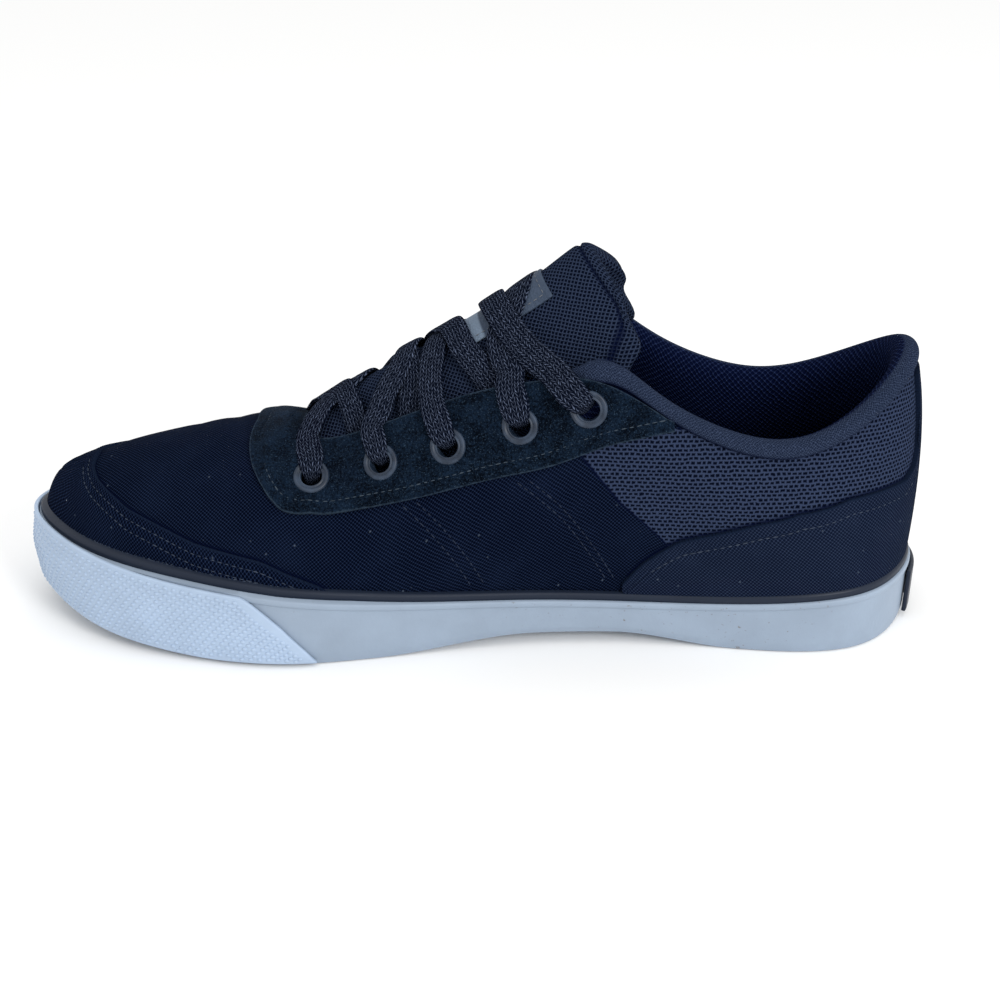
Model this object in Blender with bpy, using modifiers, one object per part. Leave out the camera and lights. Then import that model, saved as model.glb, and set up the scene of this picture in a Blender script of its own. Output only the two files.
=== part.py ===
"""Low canvas skate shoe for the right foot, built as separate named pieces.

The toe points along -X, the inner (medial) side faces -Y and the floor is z = 0.
Table rows and sizes are in millimetres. from_heel is the distance from the back of
the heel, side is the distance from the long axis and up is the height above the floor.
"""

import math
from collections import namedtuple

import bmesh
import bpy
import numpy as np
from mathutils import Matrix, Vector

MM = 0.001
MEDIAL, LATERAL = -1, 1

# Driving sizes
SOLE_LENGTH = 277.5
HEEL_TO_CENTRE, CENTRE_SIDE = 138.5, 2.0
GAP = 0.35
OUTSOLE_THICK = 6.0
FOXING_WALL = 3.0
UPPER_WALL = 2.2
INSOLE_THICK = 4.0
TOE_SPRING, TOE_SPRING_CURVE = 9.0, 1.7
ARCH_LIFT_MEDIAL, ARCH_LIFT_LATERAL = 4.2, 2.0
HEEL_FLAT_END, ARCH_START, ARCH_END, BALL_FLAT_START, BALL_FLAT_END = 58, 95, 118, 166, 212

# One row for each section of the last, from the toe to the back of the heel. The sole
# columns give the plan outline of the side wall. The top columns give the ridge of the
# vamp up to the throat, then the edge of the throat and of the collar.
# flare, lower, over and reach shape the wall: how far the lower handle leans out, its share
# of the height, the slope of the wall at its top in degrees, and the upper handle's length.
Section = namedtuple(
    "Section",
    "name medial_from medial_side lateral_from lateral_side top_from top_side top_up"
    " flare lower over reach",
)
SECTIONS = (
    Section("toe tip", 277.5, 3, 277.5, -3, 262.5, 0, 45.0, 0.5, 0.62, 0, 8),
    Section("toe corner", 266.5, 22.5, 268.5, 17, 256, 0, 47.3, 1.0, 0.62, 0, 12),
    Section("toe side", 249, 35.5, 250.5, 34.5, 244, 0, 51.0, 1.5, 0.62, 0, 18),
    Section("forefoot", 224, 44, 223, 46.5, 222, 0, 55.6, 1.5, 0.60, 0, 24),
    Section("ball", 193, 48, 187, 52, 195, 0, 60.0, 1.5, 0.58, 0, 26),
    Section("throat", 172, 45, 167, 51, 183, 12, 58.0, 2.0, 0.55, 36, 18),
    Section("instep", 140, 38.2, 140, 46.6, 150, 18.5, 71.5, 3.5, 0.52, 48, 18),
    Section("waist", 108, 34, 108, 41.5, 120, 23, 82.5, 5.0, 0.50, 55, 18),
    Section("collar front", 86, 33.8, 86, 38.8, 99, 28, 85.0, 5.0, 0.48, 66, 18),
    Section("heel front", 62, 35.3, 62, 37.2, 76, 31, 73.0, 4.0, 0.45, 76, 16),
    Section("heel", 38, 37, 38, 36.5, 49, 31.5, 64.5, 3.0, 0.42, 80, 14),
    Section("heel side", 19, 32.5, 19, 32.5, 27, 25.5, 70.5, 3.0, 0.42, 80, 16),
    Section("heel corner", 6, 19, 6, 19, 12, 13.5, 81.0, 3.0, 0.42, 76, 19),
    Section("heel back", 0, 0, 0, 0, 7, 0, 85.5, 3.0, 0.42, 72, 20),
)
BALL, HEEL_BACK = 4, len(SECTIONS) - 1

# Height of the white side wall's top edge above the floor.
WallTop = namedtuple("WallTop", "from_heel up")
WALL_TOPS = (
    WallTop(0, 19.2),
    WallTop(20, 18.6),
    WallTop(40, 17.4),
    WallTop(62, 15.7),
    WallTop(90, 15.1),
    WallTop(120, 16.0),
    WallTop(148, 17.5),
    WallTop(172, 19.8),
    WallTop(195, 22.8),
    WallTop(240, 27.7),
    WallTop(278, 31.2),
)


# Curves through the table rows
def natural_spline(knots, rows):
    """A cubic through the rows, straight at its two ends, as a function of the knot value."""
    knots = np.asarray(knots, float)
    rows = np.asarray(rows, float)
    steps = np.diff(knots)
    slopes = np.diff(rows, axis=0) / steps[:, None]
    system = np.eye(len(knots))
    change = np.zeros_like(rows)
    for i in range(1, len(knots) - 1):
        system[i, i - 1 : i + 2] = steps[i - 1], 2 * (steps[i - 1] + steps[i]), steps[i]
        change[i] = 6 * (slopes[i] - slopes[i - 1])
    bend = np.linalg.solve(system, change)

    def at(value):
        i = int(np.clip(np.searchsorted(knots, value) - 1, 0, len(steps) - 1))
        after = (value - knots[i]) / steps[i]
        before = 1 - after
        cubic = (before**3 - before) * bend[i] + (after**3 - after) * bend[i + 1]
        return before * rows[i] + after * rows[i + 1] + cubic * steps[i] ** 2 / 6

    return at


def spot(from_heel, side, up):
    """A table place as a point of the model."""
    return np.array((HEEL_TO_CENTRE - from_heel, side - CENTRE_SIDE, up), float)


def closed_outline():
    """The plan outline of the side wall as a closed curve, with the knot of each row."""
    ring = [spot(row.medial_from, -row.medial_side, 0) for row in SECTIONS]
    ring += [spot(row.lateral_from, row.lateral_side, 0) for row in SECTIONS[-2:0:-1]]
    ring = np.array(ring)[:, :2]
    spans = np.linalg.norm(np.roll(ring, -1, axis=0) - ring, axis=1)
    knots = np.concatenate(((0.0,), np.cumsum(spans)))
    around = knots[-1]
    lap = 4
    long_knots = np.concatenate((knots[-lap - 1 : -1] - around, knots, knots[1:lap] + around))
    long_ring = np.vstack((ring[-lap:], ring, ring[:lap]))
    return natural_spline(long_knots, long_ring), knots


def side_tops():
    """The edge of throat and collar, mirrored past both ends so that it runs round smoothly."""
    rows = [(row.top_from, row.top_side, row.top_up) for row in SECTIONS[BALL:]]
    flip = np.array((1, -1, 1))
    front = [flip * row for row in rows[2:0:-1]]
    back = [flip * row for row in rows[-2:-4:-1]]
    knots = np.arange(BALL - 2, HEEL_BACK + 3)
    return natural_spline(knots, np.vstack((front, rows, back)))


OUTLINE, OUTLINE_KNOTS = closed_outline()
RIDGE = natural_spline(
    range(BALL + 1), [(row.top_from, 0, row.top_up) for row in SECTIONS[: BALL + 1]]
)
SIDE_TOPS = side_tops()
SHAPE = natural_spline(
    range(HEEL_BACK + 1), [(row.flare, row.lower, row.over, row.reach) for row in SECTIONS]
)
WALL_TOP = natural_spline([row.from_heel for row in WALL_TOPS], [(row.up,) for row in WALL_TOPS])
CORNER_SECTION, CORNER_WIDTH, CORNER_REACH = 4.3, 0.55, 0.6
CORNER_LOW_SHARE, CORNER_HIGH_SHARE = 0.25, 0.75


# The last and the sole under it
def ease(value):
    """Smooth step from 0 to 1."""
    share = np.clip(value, 0, 1)
    return share * share * (3 - 2 * share)


def sole_edge(side, section, inset=0.0):
    """Plan point on the side wall's outline, moved inwards, and the outward direction there."""
    rows = np.arange(HEEL_BACK + 1)
    knots = OUTLINE_KNOTS if side == MEDIAL else OUTLINE_KNOTS[::-1]
    knot = np.interp(section, rows, knots[: HEEL_BACK + 1])
    along = OUTLINE(knot + 0.5) - OUTLINE(knot - 0.5)
    along /= np.linalg.norm(along)
    outward = np.array((along[1], -along[0]))
    return OUTLINE(knot) - inset * outward, outward


def floor_up(x, y):
    """Height of the underside: toe spring, arch and the two flat spots between them."""
    from_heel = HEEL_TO_CENTRE - x
    toe = np.clip((from_heel - BALL_FLAT_END) / (SOLE_LENGTH - BALL_FLAT_END), 0, 2)
    rise = ease((from_heel - HEEL_FLAT_END) / (ARCH_START - HEEL_FLAT_END))
    fall = ease((BALL_FLAT_START - from_heel) / (BALL_FLAT_START - ARCH_END))
    arch = np.interp(y + CENTRE_SIDE, (-36, 36), (ARCH_LIFT_MEDIAL, ARCH_LIFT_LATERAL))
    return TOE_SPRING * toe**TOE_SPRING_CURVE + arch * rise * fall


def wall_top_up(x):
    """Height of the white wall's top edge."""
    return float(WALL_TOP(HEEL_TO_CENTRE - x)[0])


def top_edge(side, section):
    """Ridge of the vamp, or the edge of throat and collar on this side."""
    if section <= BALL:
        return spot(*RIDGE(section))
    from_heel, across, up = SIDE_TOPS(section)
    return spot(from_heel, side * across, up)


def upper_base(side, section):
    """Bottom edge of the upper's wall, on the outsole and behind the side wall."""
    (x, y), outward = sole_edge(side, section, FOXING_WALL + GAP)
    return np.array((x, y, floor_up(x, y) + OUTSOLE_THICK + GAP)), np.append(outward, 0)


def section_point(side, section, share):
    """Point on a section's curve; share runs from the sole (0) to the top edge (1)."""
    base, outward = upper_base(side, section)
    top = top_edge(side, section)
    flare, lower, over, reach = SHAPE(section)
    over = math.radians(max(over, 0.0))
    rise = np.array((0, 0, 1.0))
    low = base + rise * lower * (top[2] - base[2]) + outward * flare
    high = top + reach * (outward * math.cos(over) - rise * math.sin(over))
    ahead = top_edge(side, min(section, BALL - 0.1)) - top_edge(side, min(section, BALL - 0.1) + 0.05)
    slope = ahead[2] / ahead[0] * (1 - ease(section - BALL))
    high[2] += slope * outward[0] * reach * math.cos(over)
    rest = 1 - share
    return (
        rest**3 * base
        + 3 * rest**2 * share * low
        + 3 * rest * share**2 * high
        + share**3 * top
    )


def upper_point(side, section, share):
    """Point on the upper's outer surface, smoothed over the fold below the throat's corner."""
    near = math.exp(-(((section - CORNER_SECTION) / CORNER_WIDTH) ** 2))
    rising = ease(share / CORNER_LOW_SHARE)
    reach = CORNER_REACH * near * rising * (1 - ease((share - CORNER_HIGH_SHARE) / (1 - CORNER_HIGH_SHARE)))
    if reach < 0.01:
        return section_point(side, section, share)
    steps = (-1, -0.5, 0, 0.5, 1)
    return sum(section_point(side, section + k * reach, share) for k in steps) / len(steps)


def wrapped_point(side, section, share):
    """Point on the upper, carried on to the other side past toe, heel and ridge."""
    if section < 0:
        return upper_point(-side, -section, share)
    if section > HEEL_BACK:
        return upper_point(-side, 2 * HEEL_BACK - section, share)
    if share > 1 and section <= BALL:
        return upper_point(-side, section, 2 - share)
    return upper_point(side, section, np.clip(share, 0, 1))


def upper_skin(side, section, share, out=0.0):
    """Point at a distance out from the upper's outer surface, along its normal."""
    step = 0.01
    near = min(share, 1 - 2 * step) if section < step else share
    along = wrapped_point(side, section + step, near) - wrapped_point(side, section - step, near)
    rising = wrapped_point(side, section, near + step) - wrapped_point(side, section, near - step)
    normal = -side * np.cross(along, rising)
    return upper_point(side, section, share) + out * normal / np.linalg.norm(normal)


def upper_share_at(side, section, up):
    """Share of the wall where its outer surface reaches a height."""
    low, high = 0.0, 1.0
    for _ in range(24):
        middle = (low + high) / 2
        if upper_point(side, section, middle)[2] < up:
            low = middle
        else:
            high = middle
    return low


# Tongue, as a centre line with an arched section
TongueRow = namedtuple("TongueRow", "from_heel up half_width sag")
TONGUE_ROWS = (
    TongueRow(204, 50.5, 13, 6),
    TongueRow(192, 58.0, 16, 11.5),
    TongueRow(176, 70.3, 21.5, 26),
    TongueRow(155, 82.7, 24.5, 28.5),
    TongueRow(132, 96.5, 25, 30.5),
    TongueRow(114, 109.0, 21.5, 34),
    TongueRow(104, 116.5, 13, 14),
)
TONGUE_THICK = 4.5
TONGUE_ARCH = 0.5
TONGUE = natural_spline(range(len(TONGUE_ROWS)), TONGUE_ROWS)
TONGUE_END = len(TONGUE_ROWS) - 1


def tongue_point(along, across, out=0.0):
    """Point over the tongue's face; along counts table rows, across runs from -1 to 1."""
    from_heel, up, half_width, sag = TONGUE(along)
    ahead = TONGUE(along + 0.05) - TONGUE(along - 0.05)
    slope = math.atan2(ahead[1], -ahead[0])
    normal = np.array((-math.sin(slope), 0, math.cos(slope)))
    lean = math.hypot(1, 1 / TONGUE_ARCH) - 1
    drop = sag * (math.hypot(1, across / TONGUE_ARCH) - 1) / lean
    tilt = sag * across / (TONGUE_ARCH**2 * math.hypot(1, across / TONGUE_ARCH) * lean) / half_width
    facing = normal + tilt * np.array((0, 1, 0))
    point = spot(from_heel, across * half_width, up) - drop * normal
    return point + out * facing / np.linalg.norm(facing)


# Panel edges on the upper, as rows of section and share of the wall
EdgeRow = namedtuple("EdgeRow", "section share")
TOE_GUARD_EDGE = (
    EdgeRow(1.03, 1.00),
    EdgeRow(1.25, 0.905),
    EdgeRow(1.45, 0.80),
    EdgeRow(1.73, 0.69),
    EdgeRow(2.35, 0.51),
    EdgeRow(3.16, 0.37),
    EdgeRow(3.72, 0.31),
    EdgeRow(4.60, 0.25),
    EdgeRow(5.05, 0.17),
)
# The suede lies between its lower edge and the throat, one row for each strip across it.
EyestayRow = namedtuple("EyestayRow", "edge_section edge_share top_section top_share")
EYESTAY_ROWS = (
    EyestayRow(3.64, 1.00, 4.00, 1.0),
    EyestayRow(3.65, 0.86, 4.12, 1.0),
    EyestayRow(3.70, 0.73, 4.26, 1.0),
    EyestayRow(3.80, 0.625, 4.42, 1.0),
    EyestayRow(4.00, 0.545, 4.58, 1.0),
    EyestayRow(4.30, 0.515, 4.76, 1.0),
    EyestayRow(4.70, 0.545, 5.00, 1.0),
    EyestayRow(5.20, 0.578, 5.35, 1.0),
    EyestayRow(5.80, 0.56, 5.80, 1.0),
    EyestayRow(6.40, 0.558, 6.35, 1.0),
    EyestayRow(6.90, 0.565, 6.80, 0.97),
    EyestayRow(7.45, 0.605, 7.25, 0.91),
    EyestayRow(8.00, 0.68, 7.80, 0.90),
    EyestayRow(8.45, 0.78, 8.35, 0.90),
    EyestayRow(8.75, 0.885, 8.72, 0.90),
)
COUNTER_EDGE = (
    EdgeRow(7.72, 0.10),
    EdgeRow(8.00, 0.18),
    EdgeRow(8.55, 0.32),
    EdgeRow(9.06, 0.42),
    EdgeRow(9.64, 0.54),
    EdgeRow(10.13, 0.61),
    EdgeRow(10.82, 0.62),
    EdgeRow(11.91, 0.52),
    EdgeRow(12.25, 0.53),
    EdgeRow(12.40, 0.58),
    EdgeRow(12.50, 0.91),
    EdgeRow(13.00, 0.91),
)
# Eyelets down one side: the place on the upper, where the lace passes the edge of the throat,
# and how far the suede's hollow lifts the flange
EyeletRow = namedtuple("EyeletRow", "section share edge_section rise")
EYELETS = (
    EyeletRow(4.68, 0.73, 4.81, 1.85),
    EyeletRow(5.53, 0.79, 5.53, 0.0),
    EyeletRow(6.10, 0.765, 6.04, 0.0),
    EyeletRow(6.80, 0.775, 6.77, 0.0),
    EyeletRow(7.70, 0.82, 7.62, 0.0),
)
COLLAR_START, COLLAR_PAD_FULL = 7.55, 9.0
COLLAR_PAD_FRONT = 0.35
GUARD_SECTIONS = (1.03, 1.16, 1.5)
TAB_SECTION = 12.4
EYESTAY_STEPS = 3

# Sizes of the pieces on the upper and on the side wall
OVERLAY_GAP, EYESTAY_GAP, OVERLAY_THICK = 0.5, 0.7, 1.2
STRIPE_HEIGHT, STRIPE_INSET, STRIPE_THICK_MIN = 2.2, 2.0, 1.2
BEAD_HEIGHT, BEAD_PROUD = 2.2, 0.45
FOXING_LIFT, FOOT_ROUNDING = 0.4, 0.5
TOE_UNDERCUT, TOE_LEAN, TOE_START = 1.0, 1.5, 240
BUMPER_GAP, BUMPER_THICK, BUMPER_TOP_END, BUMPER_FOOT_END = 0.7, 0.9, 3.42, 4.35
BADGE_THICK, BADGE_START, BADGE_LOW, BADGE_HIGH = 1.2, 12.25, 0.1, 0.86
LACE_WIDTH, LACE_THICK, LACE_LOOPS = 7.5, 1.6, 9
LACE_OVER_SUEDE, LACE_OVER_TONGUE = 3.3, 2.4
LACE_FROM_EYELET, COLLAR_CLEAR = 7.0, 3.0
EYELET_HOLE, EYELET_STEPS, EYELET_GAP, EYELET_CUT_DEPTH = 3.6, 10, 0.5, 12
LABEL_ALONG, LABEL_ACROSS, LABEL_THICK = (3.45, 4.85), 0.26, 0.7

# Routes of the lace over the tongue, for the lower crossings by number and for the top one by
# side. across runs from the strand's own side (-1) to the other one (1).
LaceRow = namedtuple("LaceRow", "tongue_row across lift")
LACE_ROUTES = {
    1: (LaceRow(1.45, -0.27, 1.8), LaceRow(1.8, 0.0, 0.9), LaceRow(2.0, 0.3, 0.0), LaceRow(2.0, 0.4, 0.0)),
    2: (LaceRow(2.49, -0.38, 1.8), LaceRow(2.8, 0.0, 0.9), LaceRow(2.86, 0.3, 0.0), LaceRow(2.81, 0.4, 0.0)),
    3: (LaceRow(3.1, -0.38, 1.8), LaceRow(3.36, 0.0, 0.9), LaceRow(3.54, 0.3, 0.0), LaceRow(3.58, 0.4, 0.0)),
}
TOP_LACE_ROUTES = {
    MEDIAL: (LaceRow(3.9, -0.5, 1.8), LaceRow(4.3, 0.0, 1.2), LaceRow(4.4, 0.4, 1.6)),
    LATERAL: (LaceRow(3.87, -0.4, 1.8), LaceRow(4.03, 0.0, 1.2), LaceRow(4.14, 0.5, 1.6)),
}

# Profiles, as rows of out and up: outwards from the piece's reference line, and upwards
ProfileRow = namedtuple("ProfileRow", "out up")
COLLAR_PROFILE = (
    ProfileRow(GAP, -4.5),
    ProfileRow(1.5, -4.5),
    ProfileRow(2.0, -2.0),
    ProfileRow(1.5, 0.8),
    ProfileRow(-0.4, 2.6),
    ProfileRow(-2.8, 2.8),
    ProfileRow(-5.4, 1.0),
    ProfileRow(-7.2, -3.5),
    ProfileRow(-7.4, -11.0),
    ProfileRow(-6.0, -19.0),
    ProfileRow(-3.6, -24.0),
    ProfileRow(-UPPER_WALL - GAP, -24.0),
    ProfileRow(-UPPER_WALL - GAP, -12.0),
    ProfileRow(-UPPER_WALL - GAP, 0.5),
    ProfileRow(GAP, 0.5),
)
EYELET_PROFILE = (
    ProfileRow(4.4, 1.0),
    ProfileRow(5.4, 0.0),
    ProfileRow(3.2, 0.0),
    ProfileRow(3.2, -3.4),
    ProfileRow(2.8, -3.4),
    ProfileRow(2.9, 0.5),
)

# Colours and finishes of the pieces
Finish = namedtuple("Finish", "colour roughness metallic")
FINISHES = {
    "canvas": Finish((0.008, 0.009, 0.016), 0.9, 0.0),
    "mesh lining": Finish((0.012, 0.014, 0.022), 0.85, 0.0),
    "suede": Finish((0.009, 0.011, 0.014), 0.95, 0.0),
    "white rubber": Finish((0.66, 0.72, 0.82), 0.5, 0.0),
    "black rubber": Finish((0.012, 0.013, 0.017), 0.4, 0.0),
    "painted metal": Finish((0.03, 0.034, 0.045), 0.3, 0.8),
    "lace": Finish((0.011, 0.012, 0.018), 0.85, 0.0),
    "label": Finish((0.07, 0.08, 0.10), 0.6, 0.0),
}


def edge_share(rows, section):
    """Share of the wall at a panel's edge, straight between its rows."""
    return float(np.interp(section, [row.section for row in rows], [row.share for row in rows]))


# Scene, materials and mesh helpers
def clear_scene():
    for item in list(bpy.data.objects):
        bpy.data.objects.remove(item, do_unlink=True)


def new_collection(name):
    collection = bpy.data.collections.new(name)
    bpy.context.scene.collection.children.link(collection)
    return collection


def make_material(name, finish):
    material = bpy.data.materials.new(name)
    material.use_nodes = True
    shader = material.node_tree.nodes["Principled BSDF"]
    shader.inputs["Base Color"].default_value = (*finish.colour, 1.0)
    shader.inputs["Roughness"].default_value = finish.roughness
    shader.inputs["Metallic"].default_value = finish.metallic
    return material


def add_object(name, mesh_build, finish, collection, hidden=False):
    """A named object from a bmesh, with its own material, or a hidden cutter."""
    mesh = bpy.data.meshes.new(name)
    mesh_build.to_mesh(mesh)
    mesh_build.free()
    item = bpy.data.objects.new(name, mesh)
    collection.objects.link(item)
    if hidden:
        item.hide_render = True
        item.display_type = "WIRE"
    else:
        mesh.materials.append(make_material(name, FINISHES[finish]))
        mesh.shade_smooth()
        mesh.set_sharp_from_angle(angle=math.radians(35))
    return item


def add_grid(build, rows, closed=False):
    """Faces between neighbouring rows of points; a closed grid joins its last row to its first."""
    verts = [[build.verts.new(Vector(point) * MM) for point in row] for row in rows]
    following = verts[1:] + (verts[:1] if closed else [])
    for row, after in zip(verts, following):
        for k in range(len(row) - 1):
            build.faces.new((row[k], after[k], after[k + 1], row[k + 1]))
    return verts


def weld(build):
    bmesh.ops.remove_doubles(build, verts=build.verts, dist=0.00001)
    bmesh.ops.dissolve_degenerate(build, edges=build.edges, dist=0.000001)
    bmesh.ops.recalc_face_normals(build, faces=build.faces)


def turn_outwards(build, centre):
    """Turns an open surface so that its faces look away from a centre."""
    weld(build)
    centre = Vector(centre) * MM
    facing = sum(face.normal.dot(face.calc_center_median() - centre) for face in build.faces)
    if facing < 0:
        bmesh.ops.reverse_faces(build, faces=build.faces)


def add_ring(build, loops):
    """A closed solid swept round the shoe: one closed loop of points at each station."""
    add_grid(build, [[*loop, loop[0]] for loop in loops], closed=True)
    weld(build)


def add_sweep(build, loops):
    """A closed solid swept along a path, with its two ends capped."""
    verts = add_grid(build, [[*loop, loop[0]] for loop in loops])
    build.faces.new([vert for vert in verts[0][:-1]])
    build.faces.new([vert for vert in verts[-1][:-1]])
    weld(build)


def solidify(item, thick, offset):
    modifier = item.modifiers.new("Wall", "SOLIDIFY")
    modifier.thickness = thick * MM
    modifier.offset = offset
    modifier.use_even_offset = True


def boolean(item, other, operation):
    modifier = item.modifiers.new(other.name, "BOOLEAN")
    modifier.operation = operation
    modifier.object = other
    modifier.solver = "EXACT"


# Stations along the shoe
STATION_STEPS = (3, 3, 2, 2, 4, 2, 2, 2, 2, 2, 2, 2, 4)


def stations(start=0.0, end=float(HEEL_BACK)):
    """Section values from start to end, with the last's own stations between them."""
    values = [row + k / steps for row, steps in enumerate(STATION_STEPS) for k in range(steps)]
    spare = 0.08
    return [start, *(value for value in values if start + spare < value < end - spare), end]


def round_the_sole():
    """Side and section of each station, once round the shoe."""
    walk = [(MEDIAL, section) for section in stations()]
    return walk + [(LATERAL, section) for section in stations()[-2:0:-1]]


def across_the_toe(end):
    """Side and section from one side of the shoe round the toe to the other."""
    return [(MEDIAL, section) for section in stations(0, end)[::-1]] + [
        (LATERAL, section) for section in stations(0, end)[1:]
    ]


def across_the_heel(start, *extra):
    """Side and section from one side of the shoe round the heel to the other."""
    walk = sorted({*stations(start), *extra})
    return [(MEDIAL, section) for section in walk] + [(LATERAL, section) for section in walk[-2::-1]]


# Sole
def outsole_grid(inset, lift, strips):
    """Points of a surface parallel to the floor, inside the side wall."""
    rows = []
    for section in stations():
        medial, _ = sole_edge(MEDIAL, section, inset)
        lateral, _ = sole_edge(LATERAL, section, inset)
        row = [medial + (lateral - medial) * k / strips for k in range(strips + 1)]
        rows.append([(x, y, floor_up(x, y) + lift) for x, y in row])
    return rows


def add_slab(name, inset, lift, thick, finish, collection):
    """A slab that follows the underside, with upright sides."""
    build = bmesh.new()
    add_grid(build, outsole_grid(inset, lift, strips=3))
    weld(build)
    raised = bmesh.ops.extrude_face_region(build, geom=build.faces[:])
    verts = [item for item in raised["geom"] if isinstance(item, bmesh.types.BMVert)]
    bmesh.ops.translate(build, verts=verts, vec=(0, 0, thick * MM))
    bmesh.ops.recalc_face_normals(build, faces=build.faces)
    return add_object(name, build, finish, collection)


def drawn_in(x, share):
    """How far the side wall's face draws in: at its foot, and at the foot and the top of the toe."""
    toe = ease((HEEL_TO_CENTRE - x - TOE_START) / (SOLE_LENGTH - TOE_START))
    bulge = TOE_UNDERCUT * (1 - ease(share / 0.7)) + TOE_LEAN * ease(2 * share - 1)
    return toe * bulge + FOOT_ROUNDING * (1 - ease(share / 0.15))


def foxing_point(side, section, share, out=0.0):
    """Point on the side wall's plain outer face, by the share of its height."""
    (x, y), outward = sole_edge(side, section)
    foot = floor_up(x, y) + FOXING_LIFT
    up = foot + share * (wall_top_up(x) - foot)
    x, y = np.array((x, y)) + (out - drawn_in(x, share)) * outward
    return np.array((x, y, up))


def foxing_loop(side, section):
    """Section of the side wall: foot, face, bead under the top edge, and back."""
    (x, y), outward = sole_edge(side, section)
    foot = floor_up(x, y) + FOXING_LIFT
    top = wall_top_up(x)
    bead = 1 - BEAD_HEIGHT / (top - foot)
    proud = BEAD_PROUD * ease((section - BUMPER_TOP_END) / 0.5)
    inner, _ = sole_edge(side, section, FOXING_WALL)
    shelf = foot + OUTSOLE_THICK
    backs = [
        upper_skin(side, section, upper_share_at(side, section, up), 1.2 * GAP)
        for up in (top, (top + shelf) / 2, shelf + 0.5)
    ]
    return [
        (*inner, foot),
        foxing_point(side, section, 0.0),
        foxing_point(side, section, 0.15),
        foxing_point(side, section, bead - 0.02),
        foxing_point(side, section, bead + 0.02, proud),
        foxing_point(side, section, 1.0, proud),
        *backs,
    ]


def add_foxing(collection):
    build = bmesh.new()
    add_ring(build, [foxing_loop(side, section) for side, section in round_the_sole()])
    return add_object("foxing", build, "white rubber", collection)


def stripe_loop(side, section):
    """Section of the black line: from the upper out to just inside the white wall's face."""
    edge, outward = sole_edge(side, section, STRIPE_INSET)
    low = wall_top_up(edge[0]) + GAP
    high = low + STRIPE_HEIGHT
    face, crown = [], []
    for up, lean, points in ((low, 0.0, face), (high - 0.8, 0.4, face), (high, 1.2, crown)):
        skin = upper_skin(side, section, upper_share_at(side, section, up), GAP)
        room = (edge - skin[:2]) @ outward - lean
        points.append(skin)
        points.append(skin + np.append(outward, 0) * max(room, STRIPE_THICK_MIN - lean / 2))
    return [face[0], face[1], face[3], crown[1], crown[0]]


def add_foxing_stripe(collection):
    build = bmesh.new()
    add_ring(build, [stripe_loop(side, section) for side, section in round_the_sole()])
    return add_object("foxing_stripe", build, "black rubber", collection)


def add_toe_bumper(collection):
    """Rubber strip over the toe; its ends slant, longer at the foot than at the top."""
    shares = (0.06, 0.2, 0.5, 0.8, 0.985)
    build = bmesh.new()
    rows = []
    for side, section in across_the_toe(BUMPER_FOOT_END):
        row = []
        for share in shares:
            end = BUMPER_FOOT_END + (BUMPER_TOP_END - BUMPER_FOOT_END) * ease(share)
            row.append(foxing_point(side, section * end / BUMPER_FOOT_END, share, BUMPER_GAP))
        rows.append(row)
    add_grid(build, rows)
    turn_outwards(build, (0, 0, 20))
    item = add_object("toe_bumper", build, "white rubber", collection)
    solidify(item, BUMPER_THICK, 1)
    return item


def add_heel_badge(collection):
    """Plain plate on the back of the side wall."""
    build = bmesh.new()
    shares = np.linspace(BADGE_LOW, BADGE_HIGH, 4)
    out = BEAD_PROUD + GAP
    rows = [
        [foxing_point(side, section, share, out) for share in shares]
        for side, section in across_the_heel(BADGE_START)
    ]
    add_grid(build, rows)
    turn_outwards(build, (0, 0, 10))
    item = add_object("heel_badge", build, "black rubber", collection)
    solidify(item, BADGE_THICK, 1)
    return item


# Upper and the panels on it
WALL_STEPS = 7


def add_upper(collection, cutter):
    """Hollow shell, open at the collar, at the throat and underneath."""
    build = bmesh.new()
    shares = np.linspace(0, 1, WALL_STEPS + 1)
    for side in (MEDIAL, LATERAL):
        add_grid(
            build,
            [[upper_point(side, section, share) for share in shares] for section in stations()],
        )
    turn_outwards(build, (0, 0, 30))
    item = add_object("upper", build, "canvas", collection)
    solidify(item, UPPER_WALL, -1)
    boolean(item, cutter, "DIFFERENCE")
    return item


def stripe_clear_share(side, section):
    """Share of the wall just above the black line, where the panels begin."""
    (x, _), _ = sole_edge(side, section)
    return upper_share_at(side, section, wall_top_up(x) + STRIPE_HEIGHT + 2.2 * GAP)


def panel_row(side, section, low, high, steps):
    shares = np.linspace(low, high, steps + 1)
    return [upper_skin(side, section, share, OVERLAY_GAP) for share in shares]


def add_panel(name, row_sets, finish, collection):
    """An overlay cut from the upper's own surface, just off it."""
    build = bmesh.new()
    for rows in row_sets:
        add_grid(build, rows)
    turn_outwards(build, (0, 0, 30))
    item = add_object(name, build, finish, collection)
    solidify(item, OVERLAY_THICK, 1)
    return item


def add_toe_guard(collection):
    row_sets = []
    for side in (MEDIAL, LATERAL):
        rows = []
        for section in sorted({*stations(0.0, TOE_GUARD_EDGE[-1].section), *GUARD_SECTIONS}):
            low = stripe_clear_share(side, section)
            high = max(edge_share(TOE_GUARD_EDGE, section), low + 0.01)
            rows.append(panel_row(side, section, low, high, 3))
        row_sets.append(rows)
    return add_panel("toe_guard", row_sets, "canvas", collection)


def add_heel_counter(collection):
    rows = []
    for side, section in across_the_heel(COUNTER_EDGE[0].section, TAB_SECTION):
        low = stripe_clear_share(side, section)
        high = max(edge_share(COUNTER_EDGE, section), low + 0.01)
        rows.append(panel_row(side, section, low, high, 4))
    return add_panel("heel_counter", [rows], "canvas", collection)


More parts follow.
